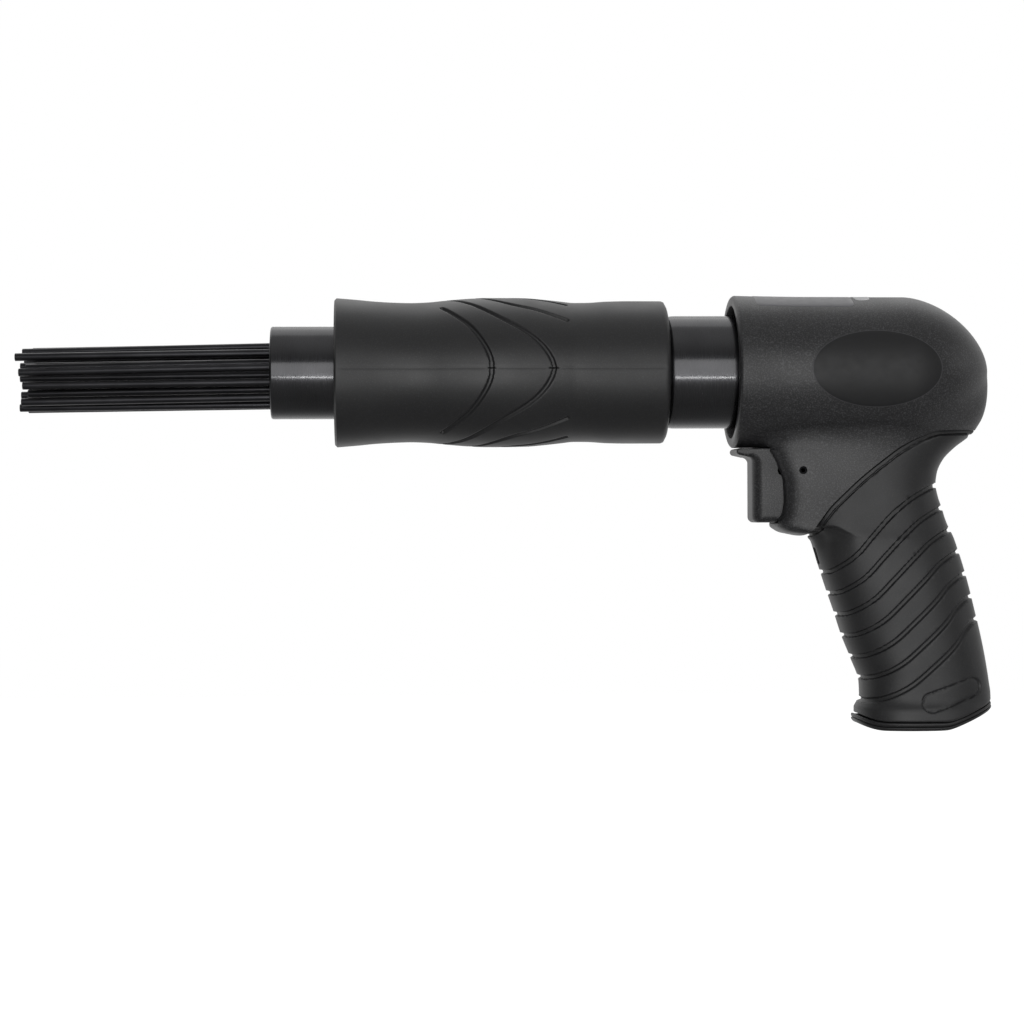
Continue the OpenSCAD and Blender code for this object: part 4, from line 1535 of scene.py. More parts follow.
    def hollows(self) -> list[Obj]:
        """Gives the solids that are cut out above the joint.

        Returns:
            The solid for the bores and the one for the trigger.
        """
        front, x, r = BARREL.mouth - 2 * self.overrun, BARREL.mouth, self.rim_round
        outer = BARREL.radius + BARREL.flare
        edge = arc(x + r, outer - r, r, 90, 180, 8)
        lip = arc(x + self.rim_inner, self.mouth_bore + self.rim_inner, self.rim_inner, 180, 270, 4)
        bore = lathe(
            "hollow_bore",
            [
                (front, 0), (front, outer + self.clear), (x + r, outer + self.clear), *edge, *lip,
                (self.mouth_floor, self.mouth_bore), (self.mouth_floor, self.bush_radius),
                (self.bush_back, self.bush_radius), (self.bush_back, self.bore_radius),
                (self.bore_back, self.bore_radius), (self.bore_back, 0),
            ],
            BARREL.axis,
        )
        pocket = slab(
            "hollow_pocket",
            [
                (self.pocket_front, self.pocket_low), (self.pocket_floor, self.pocket_low),
                (self.pocket_floor, self.pocket_high), (self.pocket_front, self.pocket_high),
            ],
            self.pocket_width,
        )
        x, z = self.pin
        pin = slab("hollow_pin", ring(x, z, self.pin_radius, 24), 2 * BARREL.radius)
        act(pocket, pin, Way.JOIN)
        channel = slab("hollow_exhaust", ring(0, 0, self.exhaust_radius, 12), self.exhaust_depth)
        out = Matrix.Translation((0, 0, self.exhaust_ring * MM))
        floor = Matrix.Translation((self.mouth_floor * MM, 0, BARREL.axis * MM))
        channel.data.transform(floor @ (Matrix.Rotation(math.pi / 2, 4, "Z") @ out))
        turned = [channel]
        middle = Matrix.Translation((0, 0, BARREL.axis * MM))
        for i in range(1, self.exhausts):
            copy = linked("hollow_exhaust", channel.data.copy())
            turn = Matrix.Rotation(2 * math.pi * i / self.exhausts, 4, "X")
            copy.data.transform(middle @ turn @ middle.inverted())
            turned.append(copy)
        act(bore, as_one(turned), Way.JOIN)
        return [bore, pocket]

    def core(self) -> Obj:
        """Models the core that the rubber grip covers.

        Returns:
            The core.
        """

        def place(turn: Array, rise: Array) -> Array:
            """Lofts the core from the base cap up into the neck.

            Args:
                turn: Angle of each point round the form.
                rise: Rise of each point from 0 to 1.

            Returns:
                The places of the points.
            """
            high, low = self.core_front
            top = HANDLE.round(turn, np.full_like(turn, self.core_top), self.core_inset, high)
            z = self.cap_top + (self.core_top - self.cap_top) * rise
            p = HANDLE.round(turn, z, self.core_inset, low)
            p[:, 2] = np.maximum(p[:, 2], HANDLE.base_height(p[:, 0]) + self.cap_top)
            # The top ring stands further back than the others
            return np.where(rise[:, None] > 0.999, top, p)

        core = tube("housing_core", around=72, rings=(40,), place=place)
        end = self.inlet_depth
        steps = [(-1, 0), (-1, INLET_RADIUS), (end, INLET_RADIUS), (end, 0)]
        act(core, drill("inlet_hole", steps), Way.CUT)
        return core

    def build(self) -> None:
        """Makes the shell, cuts it at the joint and hollows it."""
        shell = self.shell()
        line = HANDLE.joint_line()
        # The solid below the joint reaches down past the neck's foot
        under = [(line[-1, 0], 20), (line[0, 0], 20)]
        act(shell, slab("below_joint", [*map(tuple, line), *under], 4 * BARREL.radius), Way.CUT)
        for hollow in self.hollows():
            act(shell, hollow, Way.CUT)
        act(shell, self.core(), Way.JOIN)
        shade(shell, angle=38)
        self.place(shell, "body", COMPOSITE, Slot.COMPOSITE, "housing")


@dataclass
class Grip(Part):
    """The rubber grip and the base cap under it.

    Attributes:
        gap: Width of the joint below the housing.
        thick: Thickness of the rubber.
        room: Foot and height of the room for the core.
        search: Heights between which the joint is looked for.
        margin: Way beyond the edge of a groove, a bead or the slot that gets finer faces.
        cap: Thickness of the base cap.
        cap_thin: How much thinner the cap is at its back.
        cap_thin_x: Places between which it thins.
        cap_fill: Share of that thickness that the cap takes up, below the rubber.
        rubber_start: Share of it at which the rubber begins.
        cap_line: Share of the cap's height at which its two beads meet.
        cap_bead: Depth and power of the rounding of those beads.
        cap_foot: How far the cap's foot is drawn in, and the share of its height where that ends.
        cap_seat: Radius and depth of the seat for the inlet's flange.
        cap_edge: Depth of the line above the cap, and the heights between which it fades.
        cap_margin: Height above the cap that gets finer faces.
        foremost: The rubber's front goes no further forward than this.
        toe: The same at the base, where the rubber stands behind the cap's front.
        toe_z: Heights between which the front goes from the one to the other.
        first: First groove in X and Z from back to front.
        last: Last groove.
        count: Number of grooves.
        groove_width: Width of a groove.
        groove_depth: Depth of a groove.
        wall: Width of a groove's sloping wall.
        bead: Width of the bead along the joint.
        bead_groove: Width of the line below the bead.
        bead_depth: Depth of that line.
        bead_wall: How far the line's walls reach in and out from its edges.
        bead_sink: How far the bead is sunk behind, where it has no line.
        sunk_x: Places between which it sinks.
        sunk_y: Places across between which it sinks.
        sunk_wall: Width of the sunk bead's wall.
        joint_edge: Rounding of the rubber's edge at the joint, and the distances where it fades.
        pill: Ends of the recessed panel in X and Z.
        pill_radius: Radius of the panel's ends.
        pill_depth: Depth of the panel.
        pill_wall: Width of its wall.
        pill_line: Depth of the line inside its edge, and how far in that line is.
        pill_line_wall: Distances from that line's middle between which it fades.
        pill_margin: Way to each side of the panel's edge that gets finer faces.
        crease: Line in X and Z above the hollow for the finger.
        scoop: Depth of that hollow.
        scoop_lid: Way below the line over which the hollow begins.
        scoop_fade: Way below the line over which it fades.
        scoop_x: Places between which it fades toward the back.
        scoop_y: Places across between which it begins.
        scoop_margin: Way to each side of the line that gets finer faces, and where that ends.
        slot: Half width, middle height and half height of the slot in the front.
        slot_depth: Depth of the slot.
        slot_wall: Distances from its edge between which it fades.
        slot_reach: How far back from the front the slot may reach.
    """

    gap: float = 0.05
    thick: float = RUBBER
    room: Pair = (-4.0, 124.0)
    search: Pair = (66.0, 119.0)
    margin: float = 1.2
    cap: float = 3.3
    cap_thin: float = 0.6
    cap_thin_x: Pair = (4, 32)
    cap_fill: float = 0.98
    rubber_start: float = 1.02
    cap_line: float = 0.46
    cap_bead: Pair = (0.75, 2.4)
    cap_foot: Pair = (0.25, 0.4)
    cap_seat: Pair = (11.5, 2.4)
    cap_edge: Triple = (0.3, 0.1, 0.7)
    cap_margin: float = 1.4
    foremost: float = -37.8
    toe: float = -19.8
    toe_z: Pair = (8, 14)
    first: tuple[Pair, ...] = (
        (24, 95.4), (11.7, 94.6), (1.3, 90.3), (-7.2, 84), (-15.6, 75.2), (-21.7, 68.1), (-28.1, 63.2),
        (-33, 60.9), (-45, 60.6),
    )
    last: tuple[Pair, ...] = (
        (40, 43.2), (27.5, 42.8), (21.4, 39.4), (16.2, 32.6), (8.3, 25.2), (-0.7, 17.6), (-9.1, 13.2),
        (-17.2, 11.4), (-30, 11.2),
    )
    count: int = 7
    groove_width: float = 2.0
    groove_depth: float = 1.15
    wall: float = 0.32
    bead: float = 2.1
    bead_groove: float = 0.55
    bead_depth: float = 0.85
    bead_wall: Pair = (0.1, 0.2)
    bead_sink: float = 1.7
    sunk_x: Pair = (-8, 12)
    sunk_y: Pair = (2, 8)
    sunk_wall: float = 0.4
    joint_edge: Triple = (0.5, 0.1, 0.5)
    pill: tuple[Pair, Pair] = ((6.6, 10.9), (23.1, 16.6))
    pill_radius: float = 4.0
    pill_depth: float = 0.45
    pill_wall: float = 0.35
    pill_line: Pair = (0.3, 0.4)
    pill_line_wall: Pair = (0.1, 0.45)
    pill_margin: float = 1.3
    crease: tuple[Pair, ...] = ((-42, 77.9), (-36.9, 78.4), (-31, 79), (-26.2, 77.3), (-21, 75.2))
    scoop: float = 2.7
    scoop_lid: Pair = (0, 1.3)
    scoop_fade: Pair = (1.5, 16)
    scoop_x: Pair = (-35, -21.5)
    scoop_y: Pair = (3, 11)
    scoop_margin: Pair = (2, -20)
    slot: Triple = (2.6, 67.2, 3.2)
    slot_depth: float = 1.1
    slot_wall: Pair = (-0.4, 0.2)
    slot_reach: float = 6.0

    def top_of(self, turn: Array) -> Array:
        """Finds the height at which the surface meets the joint, for each turn.

        Args:
            turn: Angle of each point as seen from above.

        Returns:
            The heights.
        """
        low, high = (np.full_like(turn, z) for z in self.search)
        for _ in range(30):
            mid = (low + high) / 2
            x = HANDLE.round(turn, mid, 0.0, self.front_limit(mid))[:, 0]
            above = mid > HANDLE.joint_height(x) - self.gap
            low, high = np.where(above, low, mid), np.where(above, mid, high)
        return low

    def bottom_of(self, turn: Array, share: float | Array) -> Array:
        """Finds the height at which the surface is this share of the cap's thickness up.

        Args:
            turn: Angle of each point as seen from above.
            share: Share of the thickness.

        Returns:
            The heights.
        """
        z = self.cap * share + np.zeros_like(turn)
        for _ in range(20):
            x = HANDLE.round(turn, z)[:, 0]
            z = HANDLE.base_height(x) + self.cap_height(x) * share
        return z

    def lines(self) -> list[Array]:
        """Gives all grooves, drawn between the first and the last."""
        first, last = np.array(self.first), np.array(self.last)
        return [flowing(first + (last - first) * i / (self.count - 1)) for i in range(self.count)]

    def relief(self, points: Array) -> tuple[Array, Array]:
        """Works out how deep the surface is pressed in, and where it needs more points.

        Args:
            points: Points of the surface.

        Returns:
            The depth at each point, and marks for the points near a detail.
        """
        side, across = points[:, (0, 2)], np.abs(points[:, 1])
        x, z = side.T
        half = self.groove_width / 2
        off = np.min([off_line(side, line) for line in self.lines()], axis=0)
        depth = self.groove_depth * (1 - ramp(off, half - self.wall, half))
        busy = off < half + self.margin
        # The bead along the joint has a line below it in front and is sunk behind
        below = off_line(side, HANDLE.joint_line() - (0, self.gap))
        sunk = ramp(x, *self.sunk_x) * ramp(across, *self.sunk_y)
        edge, half = np.abs(below - self.bead), self.bead_groove / 2
        line = 1 - ramp(edge, half - self.bead_wall[0], half + self.bead_wall[1])
        depth += self.bead_depth * (1 - sunk) * line
        depth += self.bead_sink * sunk * (1 - ramp(below, self.bead - self.sunk_wall, self.bead))
        depth += self.joint_edge[0] * (1 - ramp(below, *self.joint_edge[1:]))
        busy |= below < self.bead + self.margin
        # The bare panel near the base
        pill = off_line(side, np.array(self.pill)) - self.pill_radius
        depth += self.pill_depth * (1 - ramp(pill, -self.pill_wall, 0))
        deep, inside = self.pill_line
        depth += deep * (1 - ramp(np.abs(pill + inside), *self.pill_line_wall))
        busy |= np.abs(pill) < self.pill_margin
        # The hollow for the finger below the trigger
        crease = flowing(self.crease)
        drop = np.interp(x, crease[:, 0], crease[:, 1]) - z
        hollow = ramp(drop, *self.scoop_lid) * (1 - ramp(drop, *self.scoop_fade))
        depth += self.scoop * hollow * (1 - ramp(x, *self.scoop_x)) * ramp(across, *self.scoop_y)
        busy |= (np.abs(drop) < self.scoop_margin[0]) & (x < self.scoop_margin[1])
        # The slot in the front
        wide, middle, high = self.slot
        slot = np.maximum(across - wide, np.abs(z - middle) - high)
        front = x < HANDLE.section(z)[0] + self.slot_reach
        depth += self.slot_depth * front * (1 - ramp(slot, *self.slot_wall))
        busy |= front & (slot < self.margin)
        # The line above the cap
        rise = z - HANDLE.base_height(x) - self.cap_height(x)
        depth += self.cap_edge[0] * (1 - ramp(rise, *self.cap_edge[1:]))
        busy |= rise < self.cap_margin
        return depth, busy

    def cap_height(self, x: Array) -> Array:
        """Gives the cap's thickness at places along X; it thins toward the back."""
        return self.cap - self.cap_thin * ramp(x, *self.cap_thin_x)

    def front_limit(self, z: Array) -> Array:
        """Gives how far forward the rubber may go at heights."""
        return self.foremost + (self.toe - self.foremost) * (1 - ramp(z, *self.toe_z))

    def rubber(self) -> Obj:
        """Models the rubber from cap to joint, with its relief, and hollows it for the core.

        Returns:
            The rubber.
        """

        def place(turn: Array, rise: Array) -> Array:
            """Lofts between the base and the joint.

            Args:
                turn: Angle of each point round the form.
                rise: Rise of each point from 0 to 1.

            Returns:
                The places of the points.
            """
            low, high = self.bottom_of(turn, self.rubber_start), self.top_of(turn)
            z = low + (high - low) * rise
            return HANDLE.round(turn, z, 0.0, self.front_limit(z))

        rubber = tube("rubber_grip_moulded", around=150, rings=(10, 10), place=place)
        refine(rubber, self.relief(points_of(rubber))[1], 2)
        # The plain ends face up and down and take no relief
        sides = np.abs(normals_of(rubber)[:, 2]) < 0.85
        sink(rubber, self.relief(points_of(rubber))[0] * sides)

        def inner(turn: Array, rise: Array) -> Array:
            """Lofts the room for the core."""
            foot, height = self.room
            return HANDLE.round(turn, foot + height * rise, self.thick, self.foremost)

        room = tube("room_for_core", around=72, rings=(40,), place=inner)
        act(rubber, room, Way.CUT)
        shade(rubber, angle=60)
        return rubber

    def base(self) -> Obj:
        """Models the base cap with the two beads of its rim and the hole for the inlet.

        Returns:
            The cap.
        """

        def place(turn: Array, rise: Array) -> Array:
            """Lofts the cap, drawn in at the edges of its beads.

            Args:
                turn: Angle of each point round the form.
                rise: Rise of each point from 0 to 1.

            Returns:
                The places of the points.
            """
            z = self.bottom_of(turn, self.cap_fill * rise)
            line, (deep, power), (drawn, end) = self.cap_line, self.cap_bead, self.cap_foot
            band = np.where(rise < line, rise / line, (rise - line) / (1 - line))
            inset = deep * (1 - np.sqrt(1 - np.abs(2 * band - 1) ** power))
            inset += drawn * (1 - ramp(rise, 0, end))
            p = HANDLE.round(turn, z)
            front, back, _, _ = HANDLE.section(z)
            middle = np.column_stack([(front + back) / 2, np.zeros_like(z)])
            away = p[:, :2] - middle
            p[:, :2] = middle + away * (1 - inset / np.linalg.norm(away, axis=1))[:, None]
            p[:, 2] = HANDLE.base_height(p[:, 0]) + self.cap_height(p[:, 0]) * self.cap_fill * rise
            return p

        cap = tube("base_cap_moulded", around=150, rings=(26,), place=place)
        wide, seat = self.cap_seat
        steps = [(-1, 0), (-1, wide), (seat, wide), (seat, INLET_RADIUS), (30, INLET_RADIUS), (30, 0)]
        act(cap, drill("cap_hole", steps), Way.CUT)
        shade(cap, angle=40)
        return cap

    def build(self) -> None:
        """Makes the rubber and the cap."""
        self.place(self.rubber(), "body", GRIP_RUBBER, Slot.GRIP, "rubber_grip")
        self.place(self.base(), "body", CAP_NYLON, Slot.CAP, "base_cap")


@dataclass
class Trigger(Part):
    """The trigger with its lip, and the tongue that the pin holds.

    Attributes:
        face: Place of its front face.
        back: Place of its back.
        low: Height of its underside.
        high: Height of its top.
        lip: Place of the lip's tip.
        lip_thick: Thickness of the lip at its root.
        nose: Rounding of the lip's tip.
        corner: Rounding of the front's lower corner.
        fillet: Rounding between lip and face.
        width: Its width.
        front_round: Rounding of the face's upright edges.
        low_round: Rounding of the underside's edges.
        lip_round: Rounding of the edges under the lip.
        edge: Rounding of the other edges.
        tongue: Length of the tongue.
        tongue_height: Height of the tongue.
        pin: Place of the pin in X and Z.
        slot: Ends of the pin's slot along X.
        slot_height: Height of the slot.
        layers: Depths from a side at which the outline is drawn in, up to the largest rounding.
    """

    face: float = -60.9
    back: float = -45.6
    low: float = 80.4
    high: float = 109.2
    lip: float = -67.3
    lip_thick: float = 3.3
    nose: float = 1.3
    corner: float = 2.2
    fillet: float = 2.1
    width: float = 21.0
    front_round: float = 4.6
    low_round: float = 2.8
    lip_round: float = 1.1
    edge: float = 0.5
    tongue: float = 9.5
    tongue_height: float = 8.4
    pin: Pair = PIN
    slot: Pair = (-51.5, -40.85)
    slot_height: float = 3.7
    layers: tuple[float, ...] = (0, 0.04, 0.16, 0.36, 0.64, 1.0, 1.5, 2.1, 2.8, 3.6)

    def outline(self) -> tuple[Array, Array]:
        """Draws the side view.

        Returns:
            The points in X and Z, and the rounding of the side's edge at each of them.
        """
        f, under = self.fillet, self.high - self.lip_thick
        z, h = self.pin[1], self.tongue_height / 2
        lip = arc(self.lip + self.nose, self.high - self.nose, self.nose, 90, 250, 8)
        bend = arc(self.face - f, under - f, f, 90, 0, 6)
        foot = arc(self.face + self.corner, self.low + self.corner, self.corner, 180, 270, 6)
        tail = [
            (self.back, self.low), (self.back, z - h), (self.back + self.tongue, z - h),
            (self.back + self.tongue, z + h), (self.back, z + h), (self.back, self.high),
        ]
        rounds = [
            *np.linspace(self.edge, self.lip_round, len(lip)),
            *np.linspace(self.lip_round, self.front_round, len(bend)),
            *np.linspace(self.front_round, self.low_round, len(foot)),
            self.low_round, *[self.edge] * (len(tail) - 1),
        ]
        return np.array([*lip, *bend, *foot, *tail]), np.array(rounds)

    def drawn_in(self, line: Array, by: Array) -> Array:
        """Draws a closed line in.

        Args:
            line: Points in order, anticlockwise.
            by: How far each point goes in.

        Returns:
            The line, with the rounding of the front's lower corner kept from turning over.
        """
        ahead = np.roll(line, -1, 0) - line
        ahead /= np.linalg.norm(ahead, axis=1)[:, None]
        left = np.column_stack([-ahead[:, 1], ahead[:, 0]])
        before = np.roll(left, 1, 0)
        inner = line + by[:, None] * (left + before) / (1 + (left * before).sum(1))[:, None]
        corner = np.array((self.face, self.low)) + self.corner + NEAR
        foot = np.flatnonzero((line < corner).all(1))
        front, low = by[foot[0]], by[foot[-1]]
        size = max(self.corner - min(front, low), 0.06)
        middle = self.face + front + size, self.low + low + size
        inner[foot] = arc(*middle, size, 180, 270, len(foot) - 1)
        return inner

    def build(self) -> None:
        """Stacks outlines across the width, draws them in toward the sides and cuts the pin's slot."""
        line, rounds = self.outline()
        off, half = (*self.layers, self.front_round), self.width / 2
        across = [d - half for d in off] + [half - d for d in reversed(off)]
        trigger = stack("trigger_moulded", line, across)
        points = points_of(trigger)
        depth = half - np.abs(points[:, 1])
        k = np.argmin(((points[:, None, (0, 2)] - line[None]) ** 2).sum(2), axis=1)
        for d in off:
            left = np.clip(rounds - d, 0, None)
            drawn = self.drawn_in(line, rounds - np.sqrt(rounds**2 - left**2))
            here = np.abs(depth - d) < NEAR
            points[np.ix_(here, (0, 2))] = drawn[k[here]]
        set_points(trigger, points)
        open_mesh(trigger)
        face_outwards()
        z, r = self.pin[1], self.slot_height / 2
        ends = arc(self.slot[1] - r, z, r, -90, 90, 10) + arc(self.slot[0] + r, z, r, 90, 270, 10)
        act(trigger, slab("pin_slot", ends, 2 * self.width), Way.CUT)
        shade(trigger, angle=35)
        self.place(trigger, "trigger", TRIGGER_NYLON, Slot.TRIGGER, "trigger")


@dataclass
class Labels(Part):
    """The bare labels on the housing's side and top.

    Attributes:
        proud: Height by which a label stands proud of the body.
        thick: Thickness of a label.
        oval: Middle of the side label in X and Z.
        oval_halves: Half axes of the side label.
        top: Front, back and width of the top label.
        small: Front, back and width of the small label.
        corner: Rounding of the corners of the top label and the small one.
        edge_drop: How far a label's edge lies below its face.
        rings: Nested outlines from the middle to the edge.
    """

    proud: float = 0.1
    thick: float = 0.3
    oval: Pair = (-15.6, 139.0)
    oval_halves: Pair = (25.2, 14.7)
    top: Triple = (-60.0, -22.2, 32.4)
    small: Triple = (-21.0, -15.0, 21.0)
    corner: float = 2.2
    edge_drop: float = 0.08
    rings: int = 10

    def on_body(self, flat: Array, upright: bool, proud: Array) -> Array:
        """Lays flat points on the body.

        Args:
            flat: Place along X and the other place: height on the side, or place across on top.
            upright: Whether the label is on the side.
            proud: Height of each point over the body.

        Returns:
            The points.
        """
        x, v = flat[:, 0], flat[:, 1]
        dz = v - BARREL.axis
        r = BARREL.reach(x, -dz / BARREL.radius if upright else np.zeros_like(x)) + proud
        if upright:
            return np.column_stack([x, -np.sqrt(r**2 - dz**2), v])
        return np.column_stack([x, v, BARREL.axis + np.sqrt(r**2 - v**2)])

    def film(self, name: str, outline: Array, upright: bool) -> Obj:
        """Models a label from its flat outline.

        Args:
            name: Name of the piece.
            outline: Flat points round its edge.
            upright: Whether the label is on the side.

        Returns:
            The label, with its edges rounded off.
        """
        middle = outline.mean(0)
        count = len(outline)
        under = [i / self.rings for i in range(1, self.rings + 1)]
        # Over the film a second outline stands close to the edge and rounds it off
        shares = [*under, 1.0, 0.985, *under[-2::-1]]
        lift = [-self.thick] * self.rings + [self.proud - self.edge_drop] + [self.proud] * self.rings

        def place(turn: Array, rise: Array) -> Array:
            """Sets the rings of a tube as nested outlines, out below the film and back over it.

            Args:
                turn: Angle of each point round the form.
                rise: Rise of each point from 0 to 1.

            Returns:
                The places of the points.
            """
            k = np.rint(rise * (len(shares) - 1)).astype(int)
            i = np.rint(turn / (2 * np.pi) * count).astype(int) % count
            flat = middle + (outline[i] - middle) * np.array(shares)[k][:, None]
            return self.on_body(flat, upright, np.array(lift)[k])

        film = tube(name, around=count, rings=(len(shares) - 1,), place=place)
        shade(film, angle=40)
        return film

    def oblong(self, front: float, back: float, width: float) -> Array:
        """Gives the flat outline of a label with round corners.

        Args:
            front: Place of its front.
            back: Place of its back.
            width: Its width.

        Returns:
            Points of place along X and place across.
        """
        c, corners = self.corner, []
        for x, y, start in (
            (back - c, width / 2 - c, 0), (front + c, width / 2 - c, 90),
            (front + c, c - width / 2, 180), (back - c, c - width / 2, 270),
        ):
            corners += arc(x, y, c, start, start + 90, 5)
        # The straight sides get points of their own, about evenly spaced
        loop = np.array([*corners, corners[0]])
        way = np.concatenate([[0], np.cumsum(np.linalg.norm(np.diff(loop, axis=0), axis=1))])
        even = np.unique(np.concatenate([np.linspace(0, way[-1], 97)[:-1], way[:-1]]).round(4))
        return np.column_stack([np.interp(even, way, loop[:, 0]), np.interp(even, way, loop[:, 1])])

    def build(self) -> None:
        """Makes the three labels."""
        turns = np.linspace(0, 2 * np.pi, 120, endpoint=False)
        oval = np.array(self.oval) + np.column_stack([np.cos(turns), np.sin(turns)]) * self.oval_halves
        # Polycarbonate film: black and satin, with a thin grey line near its edge
        film = LabelFilm(
            "polycarbonate_label_film_dark", "#181819", 0.5, centre=self.oval, halves=self.oval_halves
        )
        side = self.film("side_label_bare", oval, True)
        self.place(side, "body", film, Slot.LABEL_DARK, "side_label")
        top = self.film("top_label_bare", self.oblong(*self.top), False)
        self.place(top, "body", TOP_FILM, Slot.LABEL_GREY, "top_label")
        small = self.film("small_label_bare", self.oblong(*self.small), False)
        self.place(small, "body", PALE_FILM, Slot.LABEL_PALE, "small_label")


@dataclass(frozen=True)
class Coil:
    """A coil spring along X that a joint presses together.

    Attributes:
        node: The CAD node that it stands for.
        joint: The joint that presses it.
        travel: How far the joint presses it.
        wire: Diameter of its wire.
        turns: Number of turns.
        held_back: Whether its back end stands still, instead of its front end.
    """

    node: str
    joint: str
    travel: float
    wire: float
    turns: int
    held_back: bool


@dataclass
class Springs(Part):
    """The return spring round the needles and the throttle's spring.

    Attributes:
        coils: The two springs.
        slim: Share of the wire's radius that is wound, so that it stays inside the CAD's box.
    """

    coils: tuple[Coil, ...] = (
        Coil("return_spring", "anvil_stroke", 8.0, 1.2, 7, False),
        Coil("throttle_spring", "air_valve_stem", 6.0, 0.9, 6, True),
    )
    slim: float = 0.98

    def wind(self, coil: Coil) -> Obj:
        """Winds a spring in the place of its CAD node.

        Args:
            coil: The spring.

        Returns:
            The wound wire.
        """
        low, high = (np.array(corner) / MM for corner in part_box(coil.node))
        mid, length, r = (low + high) / 2, high[0] - low[0] - coil.wire, coil.wire / 2
        mean, wire = (high[1] - low[1]) / 2 - r, self.slim * r

        def place(turn: Array, rise: Array) -> Array:
            """Sets the rings of a tube along a helix.

            Args:
                turn: Angle of each point round the form.
                rise: Rise of each point from 0 to 1.

            Returns:
                The places of the points.
            """
            a, out = 2 * np.pi * coil.turns * rise, mean + wire * np.cos(turn)
            x = low[0] + r + length * rise + wire * np.sin(turn)
            return np.column_stack([x, mid[1] + out * np.cos(a), mid[2] + out * np.sin(a)])

        return tube(f"{coil.node}_wound", around=10, rings=(coil.turns * 4, 6), place=place)

    def build(self) -> None:
        """Winds both springs and gives each its own mesh."""
        for coil in self.coils:
            spring = self.wind(coil)
            shade(spring, angle=60)
            self.place(spring, "body", SPRING_STEEL, Slot.SPRING, coil.node)
            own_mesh(spring)


@dataclass
class Works:
    """The CAD pieces that keep their own shape and get a finish.

    Attributes:
        finishes: The finish of each node.
    """

    finishes: dict[str, Finish] = field(
        default_factory=lambda: {
            "needle_holder": BRIGHT_STEEL, "anvil": BRIGHT_STEEL, "holder_ring": SPRING_STEEL,
            "spring_seat": BRIGHT_STEEL, "anvil_buffer": SEAL_RUBBER,
            "hammer_cylinder": BRIGHT_STEEL, "piston": BRIGHT_STEEL, "valve_seat": BRASS,
            "valve_disc": BRIGHT_STEEL, "valve_cover": ALUMINIUM, "valve_dowel": BRIGHT_STEEL,
            "rear_buffer": SEAL_RUBBER, "cylinder_seal": SEAL_RUBBER, "barrel_bush": BLACK_STEEL,
            "trigger_pin": PIN_STEEL, "throttle_stem": BRASS, "throttle_seal": SEAL_RUBBER,
            "throttle_bush": BRASS, "inlet_bush": BRIGHT_STEEL,
            "inlet_filter": BRASS, "inlet_seal": SEAL_RUBBER,
        }
    )

    def dress(self) -> None:
        """Gives each piece its finish."""
        for node, finish in self.finishes.items():
            finish.dress(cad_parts[node])
            LOG.info("%s: keeps its CAD shape", node)


